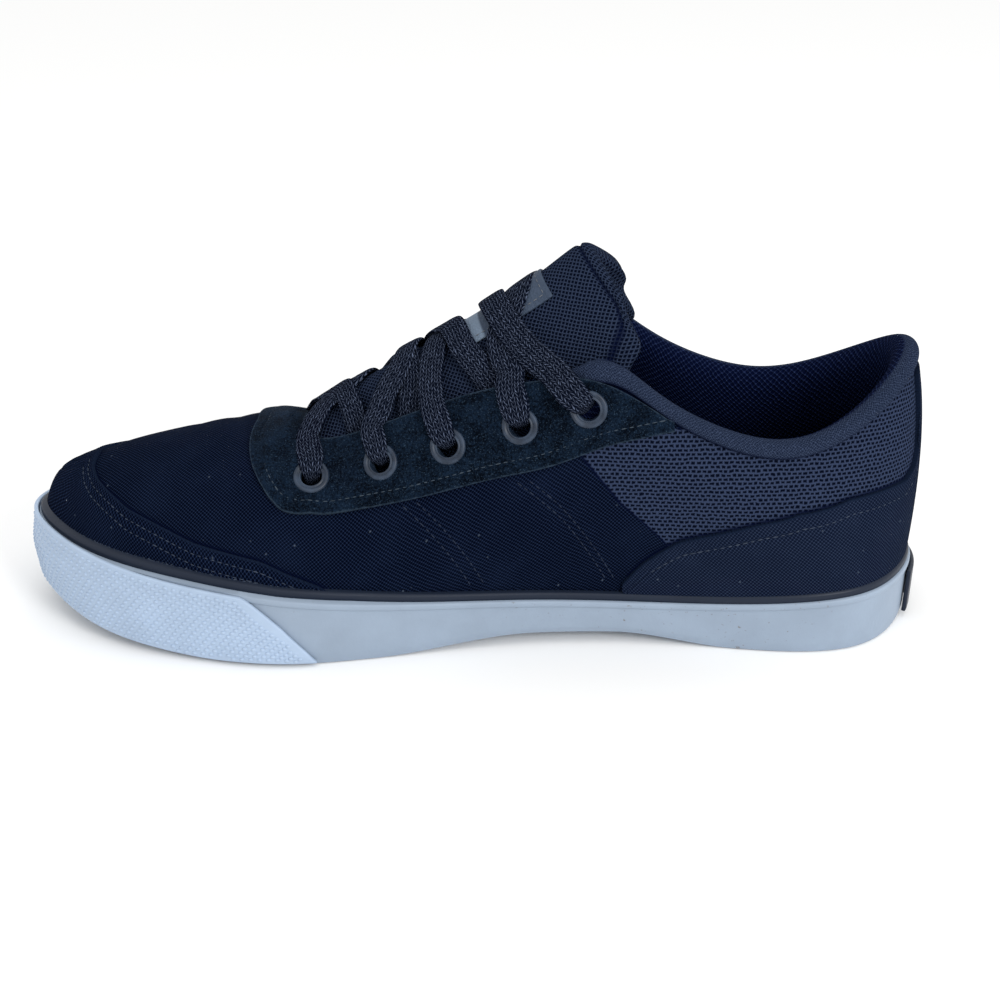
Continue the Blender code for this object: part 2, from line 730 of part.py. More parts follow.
def add_eyestay(collection, cutter):
    """Suede round the throat: strips ruled from its lower edge to the edge of the throat."""
    row_sets = []
    for side in (MEDIAL, LATERAL):
        rows = []
        for row in EYESTAY_ROWS:
            places = np.linspace(row[:2], row[2:], EYESTAY_STEPS + 1)
            rows.append([upper_skin(side, *place, EYESTAY_GAP) for place in places])
        row_sets.append(rows)
    item = add_panel("eyestay", row_sets, "suede", collection)
    boolean(item, cutter, "DIFFERENCE")
    return item


def collar_point(side, section, row):
    """Point of the collar's section: down the wall it follows the upper, above it the roll."""
    top = upper_point(side, section, 1.0)
    below = upper_point(side, section, 0.9)
    drop = np.linalg.norm(top - below) / 0.1
    padding = max(-row.out - UPPER_WALL - GAP, 0)
    full = ease((section - COLLAR_START) / (COLLAR_PAD_FULL - COLLAR_START))
    out = row.out + padding * (1 - COLLAR_PAD_FRONT) * (1 - full)
    if row.up <= 0:
        return upper_skin(side, section, 1 + row.up / drop, out)
    rise = (top - below) / np.linalg.norm(top - below)
    return upper_skin(side, section, 1.0, out) + rise * row.up


def add_collar(collection):
    """Padded roll over the top edge, with the lining hanging inside."""
    build = bmesh.new()
    walk = across_the_heel(COLLAR_START)
    add_sweep(build, [[collar_point(*place, row) for row in COLLAR_PROFILE] for place in walk])
    return add_object("collar", build, "mesh lining", collection)


# Tongue and label
def add_tongue(collection):
    build = bmesh.new()
    across = np.linspace(-1, 1, 11)
    along = np.linspace(0, TONGUE_END, 13)
    add_grid(build, [[tongue_point(a, b) for b in across] for a in along])
    turn_outwards(build, (0, 0, 0))
    item = add_object("tongue", build, "canvas", collection)
    solidify(item, TONGUE_THICK, -1)
    return item


def add_tongue_label(collection):
    build = bmesh.new()
    across = np.linspace(-LABEL_ACROSS, LABEL_ACROSS, 7)
    along = np.linspace(*LABEL_ALONG, 5)
    add_grid(build, [[tongue_point(a, b, GAP) for b in across] for a in along])
    turn_outwards(build, (0, 0, 0))
    item = add_object("tongue_label", build, "label", collection)
    solidify(item, LABEL_THICK, 1)
    return item


# Eyelets and lace
def eyelet_matrix(side, eyelet, out):
    """Frame of an eyelet: its axis stands on the upper's surface."""
    place = upper_skin(side, eyelet.section, eyelet.share, out)
    axis = Vector(upper_skin(side, eyelet.section, eyelet.share, 1.0)) - Vector(
        upper_point(side, eyelet.section, eyelet.share)
    )
    return Matrix.Translation(Vector(place) * MM) @ axis.to_track_quat("Z", "Y").to_matrix().to_4x4()


def add_eyelet_cutter(collection):
    """All ten eyelet holes as one cutter."""
    build = bmesh.new()
    for side in (MEDIAL, LATERAL):
        for eyelet in EYELETS:
            bmesh.ops.create_cone(
                build,
                cap_ends=True,
                segments=EYELET_STEPS,
                radius1=EYELET_HOLE * MM,
                radius2=EYELET_HOLE * MM,
                depth=EYELET_CUT_DEPTH * MM,
                matrix=eyelet_matrix(side, eyelet, 0.0),
            )
    return add_object("eyelet_holes", build, None, collection, hidden=True)


def add_eyelet(side, number, collection):
    """Turned ring: a flange on the suede and a barrel through it."""
    build = bmesh.new()
    verts = [build.verts.new((row.out * MM, 0, row.up * MM)) for row in EYELET_PROFILE]
    for vert, after in zip(verts, verts[1:] + verts[:1]):
        build.edges.new((vert, after))
    side_name = "medial" if side == MEDIAL else "lateral"
    item = add_object(f"eyelet_{side_name}_{number}", build, "painted metal", collection)
    turn = item.modifiers.new("Turn", "SCREW")
    turn.angle = 2 * math.pi
    turn.steps = EYELET_STEPS
    turn.render_steps = EYELET_STEPS
    turn.use_merge_vertices = True
    turn.merge_threshold = 0.00001
    eyelet = EYELETS[number - 1]
    seat = EYESTAY_GAP + OVERLAY_THICK + EYELET_GAP + eyelet.rise
    item.matrix_world = eyelet_matrix(side, eyelet, seat)
    return item


def beside_eyelet(side, eyelet, out):
    """Place on the suede between an eyelet's flange and the throat."""
    here = upper_point(side, eyelet.section, eyelet.share)
    edge = upper_point(side, eyelet.section, 1.0)
    share = eyelet.share + (1 - eyelet.share) * LACE_FROM_EYELET / np.linalg.norm(edge - here)
    return upper_skin(side, eyelet.section, min(share, 1.0), LACE_OVER_SUEDE + eyelet.rise + out)


def lace_route(side, number, out):
    """A strand's route: off the suede beside its eyelet, over the tongue, to the other side."""
    eyelet, target = EYELETS[number - 1], EYELETS[number]
    route = [
        beside_eyelet(side, eyelet, out),
        upper_skin(side, eyelet.edge_section, 1.0, LACE_OVER_SUEDE + eyelet.rise + out),
    ]
    top_pair = number == len(EYELETS) - 1
    rows = TOP_LACE_ROUTES[side] if top_pair else LACE_ROUTES[number]
    for row in rows:
        lift = LACE_OVER_TONGUE + row.lift + out
        route.append(tongue_point(row.tongue_row, -side * row.across, lift))
    if top_pair:
        route.append(upper_skin(-side, target.edge_section, 1.0, LACE_OVER_SUEDE + COLLAR_CLEAR + out))
        route.append(beside_eyelet(-side, target, out))
    return np.array(route)


def add_strand(name, side, number, finish, collection, hidden=False):
    """A flat strap along its route, lying on what is under it."""
    route = lace_route(side, number, 0.0)
    above = lace_route(side, number, 1.0)
    knots = np.concatenate(((0,), np.cumsum(np.linalg.norm(np.diff(route, axis=0), axis=1))))
    path = natural_spline(knots, route)
    over = natural_spline(knots, above - route)
    loops = []
    for place in np.linspace(0, knots[-1], LACE_LOOPS):
        forward = path(place + 0.2) - path(place - 0.2)
        across = np.cross(forward, over(place))
        across *= LACE_WIDTH / 2 / np.linalg.norm(across)
        up = np.cross(across, forward)
        up *= LACE_THICK / 2 / np.linalg.norm(up)
        corners = (-across - up, across - up, across + up, -across + up)
        loops.append([path(place) + corner for corner in corners])
    build = bmesh.new()
    add_sweep(build, loops)
    return add_object(name, build, finish, collection, hidden)


def add_lace_cross(number, collection, cutters):
    """Two strands joined where they cross over the tongue."""
    item = add_strand(f"lace_cross_{number}", MEDIAL, number, "lace", collection)
    other = add_strand(f"lace_cross_{number}_strand", LATERAL, number, None, cutters, hidden=True)
    boolean(item, other, "UNION")
    return item


def main():
    clear_scene()
    shoe = new_collection("skate shoe")
    cutters = new_collection("cutters")
    holes = add_eyelet_cutter(cutters)
    add_slab("outsole", FOXING_WALL + GAP, 0.0, OUTSOLE_THICK, "white rubber", shoe)
    insole_lift = OUTSOLE_THICK + GAP
    add_slab(
        "insole", FOXING_WALL + UPPER_WALL + 3 * GAP, insole_lift, INSOLE_THICK, "mesh lining", shoe
    )
    add_foxing(shoe)
    add_foxing_stripe(shoe)
    add_toe_bumper(shoe)
    add_heel_badge(shoe)
    add_upper(shoe, holes)
    add_toe_guard(shoe)
    add_heel_counter(shoe)
    add_eyestay(shoe, holes)
    add_collar(shoe)
    add_tongue(shoe)
    add_tongue_label(shoe)
    for side in (MEDIAL, LATERAL):
        for number in range(1, len(EYELETS) + 1):
            add_eyelet(side, number, shoe)
    for number in range(1, len(EYELETS)):
        add_lace_cross(number, shoe, cutters)


main()
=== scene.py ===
"""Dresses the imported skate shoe: cloth, suede, rubber, lace and stitches, on a pale studio floor.

The toe points along -X, the inner (medial) side faces -Y and the floor is z = 0.
Sizes are in millimetres until a mesh is made. from_heel is the distance from the back of
the heel, side is the distance from the long axis and up is the height above the floor.
"""

import math
from collections import namedtuple

import bmesh
import bpy
import numpy as np
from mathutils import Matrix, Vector


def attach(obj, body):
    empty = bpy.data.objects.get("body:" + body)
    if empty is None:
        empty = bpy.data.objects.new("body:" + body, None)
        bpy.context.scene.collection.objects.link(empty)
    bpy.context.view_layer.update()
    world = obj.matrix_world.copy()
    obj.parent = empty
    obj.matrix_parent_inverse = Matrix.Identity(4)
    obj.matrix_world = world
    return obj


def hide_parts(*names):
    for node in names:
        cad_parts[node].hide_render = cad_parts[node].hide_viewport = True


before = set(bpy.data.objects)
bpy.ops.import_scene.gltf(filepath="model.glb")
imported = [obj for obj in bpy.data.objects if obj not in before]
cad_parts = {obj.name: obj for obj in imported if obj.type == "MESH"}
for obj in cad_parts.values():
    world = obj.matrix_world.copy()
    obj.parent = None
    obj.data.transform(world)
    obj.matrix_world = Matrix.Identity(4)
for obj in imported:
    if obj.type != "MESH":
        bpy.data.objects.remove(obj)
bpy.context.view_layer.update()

MM = 0.001
MEDIAL, LATERAL = -1, 1
SIDES = (MEDIAL, LATERAL)

# Driving sizes of the sole and the last
SOLE_LENGTH = 277.5
HEEL_TO_CENTRE, CENTRE_SIDE = 138.5, 2.0
GAP = 0.35
OUTSOLE_THICK = 6.0
FOXING_WALL = 3.0
UPPER_WALL = 2.2
INSOLE_THICK = 4.0
TOE_SPRING, TOE_SPRING_CURVE = 9.0, 1.7
ARCH_LIFT_MEDIAL, ARCH_LIFT_LATERAL = 4.2, 2.0
ARCH_HALF_WIDTH = 36
HEEL_FLAT_END, ARCH_START, ARCH_END, BALL_FLAT_START, BALL_FLAT_END = 58, 95, 118, 166, 212

# One row for each section of the last, from the toe to the back of the heel. The sole
# columns give the plan outline of the side wall. The top columns give the ridge of the
# vamp up to the throat, then the edge of the throat and of the collar.
# flare, lower, over and reach shape the wall: how far the lower handle leans out, its share
# of the height, the slope of the wall at its top in degrees, and the upper handle's length.
Section = namedtuple(
    "Section",
    "name medial_from medial_side lateral_from lateral_side top_from top_side top_up"
    " flare lower over reach",
)
SECTIONS = (
    Section("toe tip", 277.5, 3, 277.5, -3, 262.5, 0, 45.0, 0.5, 0.62, 0, 8),
    Section("toe corner", 266.5, 22.5, 268.5, 17, 256, 0, 47.3, 1.0, 0.62, 0, 12),
    Section("toe side", 249, 35.5, 250.5, 34.5, 244, 0, 51.0, 1.5, 0.62, 0, 18),
    Section("forefoot", 224, 44, 223, 46.5, 222, 0, 55.6, 1.5, 0.60, 0, 24),
    Section("ball", 193, 48, 187, 52, 195, 0, 60.0, 1.5, 0.58, 0, 26),
    Section("throat", 172, 45, 167, 51, 183, 12, 58.0, 2.0, 0.55, 36, 18),
    Section("instep", 140, 38.2, 140, 46.6, 150, 18.5, 71.5, 3.5, 0.52, 48, 18),
    Section("waist", 108, 34, 108, 41.5, 120, 23, 82.5, 5.0, 0.50, 55, 18),
    Section("collar front", 86, 33.8, 86, 38.8, 99, 28, 85.0, 5.0, 0.48, 66, 18),
    Section("heel front", 62, 35.3, 62, 37.2, 76, 31, 73.0, 4.0, 0.45, 76, 16),
    Section("heel", 38, 37, 38, 36.5, 49, 31.5, 64.5, 3.0, 0.42, 80, 14),
    Section("heel side", 19, 32.5, 19, 32.5, 27, 25.5, 70.5, 3.0, 0.42, 80, 16),
    Section("heel corner", 6, 19, 6, 19, 12, 13.5, 81.0, 3.0, 0.42, 76, 19),
    Section("heel back", 0, 0, 0, 0, 7, 0, 85.5, 3.0, 0.42, 72, 20),
)
BALL, HEEL_BACK = 4, len(SECTIONS) - 1

# Height of the white side wall's top edge above the floor.
WallTop = namedtuple("WallTop", "from_heel up")
WALL_TOPS = (
    WallTop(0, 19.2),
    WallTop(20, 18.6),
    WallTop(40, 17.4),
    WallTop(62, 15.7),
    WallTop(90, 15.1),
    WallTop(120, 16.0),
    WallTop(148, 17.5),
    WallTop(172, 19.8),
    WallTop(195, 22.8),
    WallTop(240, 27.7),
    WallTop(278, 31.2),
)


# Curves through the table rows, for whole arrays of values at once
def natural_spline(knots, rows):
    """A cubic through the rows, straight at its two ends, as a function of the knot value."""
    knots = np.asarray(knots, float)
    rows = np.asarray(rows, float)
    steps = np.diff(knots)
    slopes = np.diff(rows, axis=0) / steps[:, None]
    system = np.eye(len(knots))
    change = np.zeros_like(rows)
    for i in range(1, len(knots) - 1):
        system[i, i - 1 : i + 2] = steps[i - 1], 2 * (steps[i - 1] + steps[i]), steps[i]
        change[i] = 6 * (slopes[i] - slopes[i - 1])
    bend = np.linalg.solve(system, change)

    def at(value):
        value = np.asarray(value, float)
        i = np.clip(np.searchsorted(knots, value) - 1, 0, len(steps) - 1)
        span = steps[i][..., None]
        after = (value - knots[i])[..., None] / span
        before = 1 - after
        cubic = (before**3 - before) * bend[i] + (after**3 - after) * bend[i + 1]
        return before * rows[i] + after * rows[i + 1] + cubic * span**2 / 6

    return at


def unit(vectors):
    return vectors / np.linalg.norm(vectors, axis=-1, keepdims=True)


def ease(value):
    """Smooth step from 0 to 1."""
    share = np.clip(value, 0, 1)
    return share * share * (3 - 2 * share)


def hump(value, middle, width):
    """Soft bump of height 1 about a middle value."""
    return np.exp(-(((value - middle) / width) ** 2))


def run_along(points):
    """Distance along a line at each of its points."""
    return np.concatenate(((0.0,), np.cumsum(np.linalg.norm(np.diff(points, axis=0), axis=1))))


def spot(from_heel, side, up):
    """Table places as points of the model."""
    from_heel, side, up = np.broadcast_arrays(from_heel, side, up)
    return np.stack((HEEL_TO_CENTRE - from_heel, side - CENTRE_SIDE, up), -1).astype(float)


def closed_outline():
    """The plan outline of the side wall as a closed curve, with the knot of each row."""
    ring = [(row.medial_from, -row.medial_side) for row in SECTIONS]
    ring += [(row.lateral_from, row.lateral_side) for row in SECTIONS[-2:0:-1]]
    ring = np.array([spot(*place, 0)[:2] for place in ring])
    knots = run_along(np.vstack((ring, ring[:1])))
    around = knots[-1]
    lap = 4
    long_knots = np.concatenate((knots[-lap - 1 : -1] - around, knots, knots[1:lap] + around))
    long_ring = np.vstack((ring[-lap:], ring, ring[:lap]))
    return natural_spline(long_knots, long_ring), knots


def side_tops():
    """The edge of throat and collar, mirrored past both ends so that it runs round smoothly."""
    rows = [(row.top_from, row.top_side, row.top_up) for row in SECTIONS[BALL:]]
    flip = np.array((1, -1, 1))
    front = [flip * row for row in rows[2:0:-1]]
    back = [flip * row for row in rows[-2:-4:-1]]
    knots = np.arange(BALL - 2, HEEL_BACK + 3)
    return natural_spline(knots, np.vstack((front, rows, back)))


OUTLINE, OUTLINE_KNOTS = closed_outline()
RIDGE = natural_spline(
    range(BALL + 1), [(row.top_from, 0, row.top_up) for row in SECTIONS[: BALL + 1]]
)
SIDE_TOPS = side_tops()
SHAPE = natural_spline(
    range(HEEL_BACK + 1), [(row.flare, row.lower, row.over, row.reach) for row in SECTIONS]
)
WALL_TOP = natural_spline([row.from_heel for row in WALL_TOPS], [(row.up,) for row in WALL_TOPS])
CORNER_SECTION, CORNER_WIDTH, CORNER_REACH = 4.3, 0.55, 0.6
CORNER_LOW_SHARE, CORNER_HIGH_SHARE = 0.25, 0.75
# Steps over which a curve's direction is measured, along the outline and in table rows
KNOT_STEP, ROW_STEP = 0.5, 0.05


# The last and the sole under it
def sole_edge(side, section, inset=0.0):
    """Plan points on the side wall's outline, moved inwards, and the outward directions there."""
    side, section = np.broadcast_arrays(side, section)
    rows = np.arange(HEEL_BACK + 1)
    medial = np.interp(section, rows, OUTLINE_KNOTS[: HEEL_BACK + 1])
    lateral = np.interp(section, rows, OUTLINE_KNOTS[::-1][: HEEL_BACK + 1])
    knot = np.where(side == MEDIAL, medial, lateral)
    along = unit(OUTLINE(knot + KNOT_STEP) - OUTLINE(knot - KNOT_STEP))
    outward = np.stack((along[..., 1], -along[..., 0]), -1)
    return OUTLINE(knot) - inset * outward, outward


def floor_up(x, y):
    """Height of the underside: toe spring, arch and the two flat spots between them."""
    from_heel = HEEL_TO_CENTRE - x
    toe = np.clip((from_heel - BALL_FLAT_END) / (SOLE_LENGTH - BALL_FLAT_END), 0, 2)
    rise = ease((from_heel - HEEL_FLAT_END) / (ARCH_START - HEEL_FLAT_END))
    fall = ease((BALL_FLAT_START - from_heel) / (BALL_FLAT_START - ARCH_END))
    arch_width = (-ARCH_HALF_WIDTH, ARCH_HALF_WIDTH)
    arch = np.interp(y + CENTRE_SIDE, arch_width, (ARCH_LIFT_MEDIAL, ARCH_LIFT_LATERAL))
    return TOE_SPRING * toe**TOE_SPRING_CURVE + arch * rise * fall


def wall_top_up(x):
    """Height of the white wall's top edge."""
    return WALL_TOP(HEEL_TO_CENTRE - x)[..., 0]


def top_edge(side, section):
    """Ridge of the vamp, or the edge of throat and collar on this side."""
    front = RIDGE(np.minimum(section, BALL))
    back = SIDE_TOPS(np.maximum(section, BALL))
    row = np.where((section <= BALL)[..., None], front, back)
    return spot(row[..., 0], side * row[..., 1], row[..., 2])


def upright(plan, up):
    """Plan points with a height."""
    return np.concatenate((plan, np.broadcast_to(up, plan.shape[:-1])[..., None]), -1)


def section_point(side, section, share):
    """Points on the sections' curves; share runs from the sole (0) to the top edge (1)."""
    edge, outward = sole_edge(side, section, FOXING_WALL + GAP)
    base = upright(edge, floor_up(edge[..., 0], edge[..., 1]) + OUTSOLE_THICK + GAP)
    outward = upright(outward, 0.0)
    top = top_edge(side, section)
    flare, lower, over, reach = np.moveaxis(SHAPE(section), -1, 0)
    over = np.radians(np.maximum(over, 0.0))
    low = base + outward * flare[..., None]
    low[..., 2] += lower * (top[..., 2] - base[..., 2])
    high = top + outward * (reach * np.cos(over))[..., None]
    front = np.minimum(section, BALL - 2 * ROW_STEP)
    ahead = top_edge(side, front) - top_edge(side, front + ROW_STEP)
    slope = ahead[..., 2] / ahead[..., 0] * (1 - ease(section - BALL))
    high[..., 2] += reach * (slope * outward[..., 0] * np.cos(over) - np.sin(over))
    share = share[..., None]
    rest = 1 - share
    return rest**3 * base + 3 * rest**2 * share * low + 3 * rest * share**2 * high + share**3 * top


def upper_point(side, section, share):
    """Points on the upper's outer surface, smoothed over the fold below the throat's corner."""
    side, section, share = np.broadcast_arrays(side, section, share)
    rising = ease(share / CORNER_LOW_SHARE)
    falling = 1 - ease((share - CORNER_HIGH_SHARE) / (1 - CORNER_HIGH_SHARE))
    reach = CORNER_REACH * hump(section, CORNER_SECTION, CORNER_WIDTH) * rising * falling
    points = section_point(side, section, share)
    folded = reach > 0.01
    if folded.any():
        steps = (-1, -0.5, 0.5, 1)
        near = (side[folded], section[folded], share[folded], reach[folded])
        moved = [section_point(near[0], near[1] + k * near[3], near[2]) for k in steps]
        points[folded] = (points[folded] + sum(moved)) / (len(steps) + 1)
    return points


def wrapped_point(side, section, share):
    """Points on the upper, carried on to the other side past toe, heel and ridge."""
    past_ridge = (share > 1) & (section <= BALL)
    other = (section < 0) | (section > HEEL_BACK) | past_ridge
    section = np.abs(section)
    section = np.where(section > HEEL_BACK, 2 * HEEL_BACK - section, section)
    share = np.where(past_ridge, 2 - share, np.clip(share, 0, 1))
    return upper_point(np.where(other, -side, side), section, share)


def upper_normal(side, section, share):
    """Outward normals of the upper's surface."""
    side, section, share = np.broadcast_arrays(side, section, share)
    step = 0.01
    near = np.where(section < step, np.minimum(share, 1 - 2 * step), share)
    along = wrapped_point(side, section + step, near) - wrapped_point(side, section - step, near)
    rising = wrapped_point(side, section, near + step) - wrapped_point(side, section, near - step)
    return unit(-side[..., None] * np.cross(along, rising))


def upper_skin(side, section, share, out=0.0):
    """Points at a distance out from the upper's outer surface, along its normal."""
    out = np.asarray(out, float)[..., None]
    return upper_point(side, section, share) + out * upper_normal(side, section, share)


def upper_share_at(side, section, up):
    """Share of the wall where its outer surface reaches a height."""
    side, section, up = np.broadcast_arrays(side, section, up)
    low, high = np.zeros(up.shape), np.ones(up.shape)
    for _ in range(20):
        middle = (low + high) / 2
        below = upper_point(side, section, middle)[..., 2] < up
        low = np.where(below, middle, low)
        high = np.where(below, high, middle)
    return low


# Tongue, as a centre line with an arched section
TongueRow = namedtuple("TongueRow", "from_heel up half_width sag")
TONGUE_ROWS = (
    TongueRow(204, 50.5, 13, 6),
    TongueRow(192, 58.0, 16, 11.5),
    TongueRow(176, 70.3, 21.5, 26),
    TongueRow(155, 82.7, 24.5, 28.5),
    TongueRow(132, 96.5, 25, 30.5),
    TongueRow(114, 109.0, 21.5, 34),
    TongueRow(104, 116.5, 13, 14),
)
TONGUE_ARCH = 0.5
TONGUE = natural_spline(range(len(TONGUE_ROWS)), TONGUE_ROWS)
TONGUE_END = len(TONGUE_ROWS) - 1


def tongue_point(along, across, out=0.0):
    """Points over the tongue's face; along counts table rows, across runs from -1 to 1."""
    along, across, out = np.broadcast_arrays(along, across, np.asarray(out, float))
    from_heel, up, half_width, sag = np.moveaxis(TONGUE(along), -1, 0)
    ahead = TONGUE(along + ROW_STEP) - TONGUE(along - ROW_STEP)
    slope = np.arctan2(ahead[..., 1], -ahead[..., 0])
    normal = np.stack((-np.sin(slope), 0 * slope, np.cos(slope)), -1)
    lean = math.hypot(1, 1 / TONGUE_ARCH) - 1
    bow = np.hypot(1, across / TONGUE_ARCH)
    drop = sag * (bow - 1) / lean
    tilt = sag * across / (TONGUE_ARCH**2 * bow * lean) / half_width
    facing = normal + tilt[..., None] * np.array((0, 1, 0))
    point = spot(from_heel, across * half_width, up) - drop[..., None] * normal
    return point + out[..., None] * unit(facing)


# Panel edges on the upper, as rows of section and share of the wall
EdgeRow = namedtuple("EdgeRow", "section share")
TOE_GUARD_EDGE = (
    EdgeRow(1.03, 1.00),
    EdgeRow(1.25, 0.905),
    EdgeRow(1.45, 0.80),
    EdgeRow(1.73, 0.69),
    EdgeRow(2.35, 0.51),
    EdgeRow(3.16, 0.37),
    EdgeRow(3.72, 0.31),
    EdgeRow(4.60, 0.215),
    EdgeRow(5.05, 0.14),
)
# The suede lies between its lower edge and the throat, one row for each strip across it.
EyestayRow = namedtuple("EyestayRow", "edge_section edge_share top_section top_share")
EYESTAY_ROWS = (
    EyestayRow(3.64, 1.00, 4.00, 1.0),
    EyestayRow(3.65, 0.86, 4.12, 1.0),
    EyestayRow(3.70, 0.73, 4.26, 1.0),
    EyestayRow(3.80, 0.625, 4.42, 1.0),
    EyestayRow(4.00, 0.545, 4.58, 1.0),
    EyestayRow(4.30, 0.515, 4.76, 1.0),
    EyestayRow(4.70, 0.545, 5.00, 1.0),
    EyestayRow(5.20, 0.578, 5.35, 1.0),
    EyestayRow(5.80, 0.56, 5.80, 1.0),
    EyestayRow(6.40, 0.558, 6.35, 1.0),
    EyestayRow(6.90, 0.565, 6.80, 0.99),
    EyestayRow(7.45, 0.605, 7.25, 0.975),
    EyestayRow(8.00, 0.68, 7.80, 0.965),
    EyestayRow(8.45, 0.78, 8.35, 0.962),
    EyestayRow(8.85, 0.905, 8.85, 0.955),
)
EYESTAY = natural_spline(range(len(EYESTAY_ROWS)), EYESTAY_ROWS)
COUNTER_EDGE = (
    EdgeRow(7.72, 0.10),
    EdgeRow(8.00, 0.18),
    EdgeRow(8.55, 0.32),
    EdgeRow(9.06, 0.42),
    EdgeRow(9.64, 0.54),
    EdgeRow(10.13, 0.61),
    EdgeRow(10.82, 0.62),
    EdgeRow(11.91, 0.52),
    EdgeRow(12.25, 0.53),
    EdgeRow(12.40, 0.58),
    EdgeRow(12.50, 0.91),
    EdgeRow(13.00, 0.91),
)
# Front seam of the open-weave panel behind the suede
PANEL_SEAM = (
    EdgeRow(8.95, 1.00),
    EdgeRow(8.92, 0.93),
    EdgeRow(7.38, 0.80),
    EdgeRow(7.38, 0.66),
    EdgeRow(7.44, 0.60),
    EdgeRow(7.63, 0.50),
    EdgeRow(7.83, 0.41),
    EdgeRow(8.06, 0.355),
    EdgeRow(8.29, 0.303),
    EdgeRow(8.45, 0.25),
)
# Double rows of thread that slant down the quarter
QUARTER_SEAMS = (
    (EdgeRow(5.67, 0.547), EdgeRow(6.15, 0.129)),
    (EdgeRow(6.70, 0.52), EdgeRow(7.55, 0.112)),
)
EyeletRow = namedtuple("EyeletRow", "section share edge_section")
EYELETS = (
    EyeletRow(4.68, 0.73, 4.81),
    EyeletRow(5.53, 0.79, 5.53),
    EyeletRow(6.10, 0.765, 6.04),
    EyeletRow(6.80, 0.775, 6.77),
    EyeletRow(7.70, 0.82, 7.62),
)


def edge_share(rows, section):
    """Share of the wall at a panel's edge, straight between its rows."""
    return np.interp(section, [row.section for row in rows], [row.share for row in rows])


# Meshes from grids of points
Patch = namedtuple("Patch", "points uv edges")
WELD, SLIVER = 0.01, 0.001
CREASE, COPY_CREASE, TONGUE_CREASE = 50, 60, 80


def lengths(points, axis):
    """Running distance along one axis of a grid of points."""
    steps = np.linalg.norm(np.diff(points, axis=axis), axis=-1)
    if axis == 0:
        steps = np.broadcast_to(steps.mean(axis=1, keepdims=True), steps.shape)
        return np.vstack((np.zeros((1, steps.shape[1])), np.cumsum(steps, axis=0)))
    return np.hstack((np.zeros((steps.shape[0], 1)), np.cumsum(steps, axis=1)))


def patch(points, uv=None, edges=None):
    """A grid with a map in millimetres and its distances from its lower and upper edges."""
    across = lengths(points, 1)
    if uv is None:
        uv = np.stack((lengths(points, 0), across), -1)
    if edges is None:
        edges = np.stack((across, across[:, -1:] - across), -1)
    return Patch(points, uv, edges)


def end_caps(grid, middles):
    """Fans that close both ends of a tube of points."""
    caps = []
    for k in (0, -1):
        caps.append(patch(np.stack((grid[k], np.broadcast_to(middles[k], grid[k].shape)), 0)))
    return caps


def add_map(mesh, name, values):
    layer = mesh.uv_layers.new(name=name)
    layer.data.foreach_set("uv", values.astype(np.float32).ravel())


def new_piece(name, patches, material, centre=None):
    """One mesh object from grids, its seams welded; an open one faces away from a centre."""
    verts, faces, uvs, edges = [], [], [], []
    start = 0
    for grid in patches:
        rows, columns = grid.points.shape[:2]
        index = start + np.arange(rows * columns).reshape(rows, columns)
        corners = (index[:-1, :-1], index[1:, :-1], index[1:, 1:], index[:-1, 1:])
        faces.append(np.stack(corners, -1).reshape(-1, 4))
        verts.append(grid.points.reshape(-1, 3) * MM)
        uvs.append(grid.uv.reshape(-1, 2))
        edges.append(grid.edges.reshape(-1, 2))
        start += rows * columns
    faces = np.concatenate(faces)
    mesh = bpy.data.meshes.new(name)
    mesh.from_pydata(np.concatenate(verts).tolist(), [], faces.tolist())
    add_map(mesh, "Cloth", np.concatenate(uvs)[faces.ravel()])
    add_map(mesh, "Edges", np.concatenate(edges)[faces.ravel()])
    build = bmesh.new()
    build.from_mesh(mesh)
    bmesh.ops.remove_doubles(build, verts=build.verts, dist=WELD * MM)
    bmesh.ops.dissolve_degenerate(build, edges=build.edges, dist=SLIVER * MM)
    bmesh.ops.recalc_face_normals(build, faces=build.faces)
    if centre is not None:
        middle = Vector(centre) * MM
        facing = sum(face.normal.dot(face.calc_center_median() - middle) for face in build.faces)
        if facing < 0:
            bmesh.ops.reverse_faces(build, faces=build.faces)
    build.to_mesh(mesh)
    build.free()
    mesh.materials.append(material)
    item = bpy.data.objects.new(name, mesh)
    bpy.context.scene.collection.objects.link(item)
    return item


def thicken(item, thick, offset, round_off=0.0, segments=3):
    """Gives an open sheet its wall, and rounds the wall's edges."""
    wall = item.modifiers.new("Wall", "SOLIDIFY")
    wall.thickness = thick * MM
    wall.offset = offset
    wall.use_even_offset = False
    if round_off:
        bevel = item.modifiers.new("Rounding", "BEVEL")
        bevel.width = round_off * MM
        bevel.segments = segments
        bevel.limit_method = "ANGLE"
        bevel.angle_limit = math.radians(CREASE)
        bevel.use_clamp_overlap = True


def settle(item, smooth_angle=CREASE):
    """Turns the modifiers' result into the object's own plain mesh."""
    bpy.context.view_layer.update()
    graph = bpy.context.evaluated_depsgraph_get()
    mesh = bpy.data.meshes.new_from_object(item.evaluated_get(graph))
    item.modifiers.clear()
    item.data = mesh
    mesh.shade_smooth()
    mesh.set_sharp_from_angle(angle=math.radians(smooth_angle))
    return item


def place_piece(item, slot, *nodes):
    """Seats a finished piece on the shoe, in place of its plain solids."""
    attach(item, "root")
    if nodes:
        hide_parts(*nodes)
    return item


# Shader helpers
QUARTER_TURN = 1.57


def add_node(tree, kind, sockets=None, **settings):
    """A node with its settings, and its inputs either linked or given a value."""
    made = tree.nodes.new(kind)
    for key, value in settings.items():
        setattr(made, key, value)
    for key, value in (sockets or {}).items():
        if isinstance(value, bpy.types.NodeSocket):
            tree.links.new(value, made.inputs[key])
        else:
            made.inputs[key].default_value = value
    return made


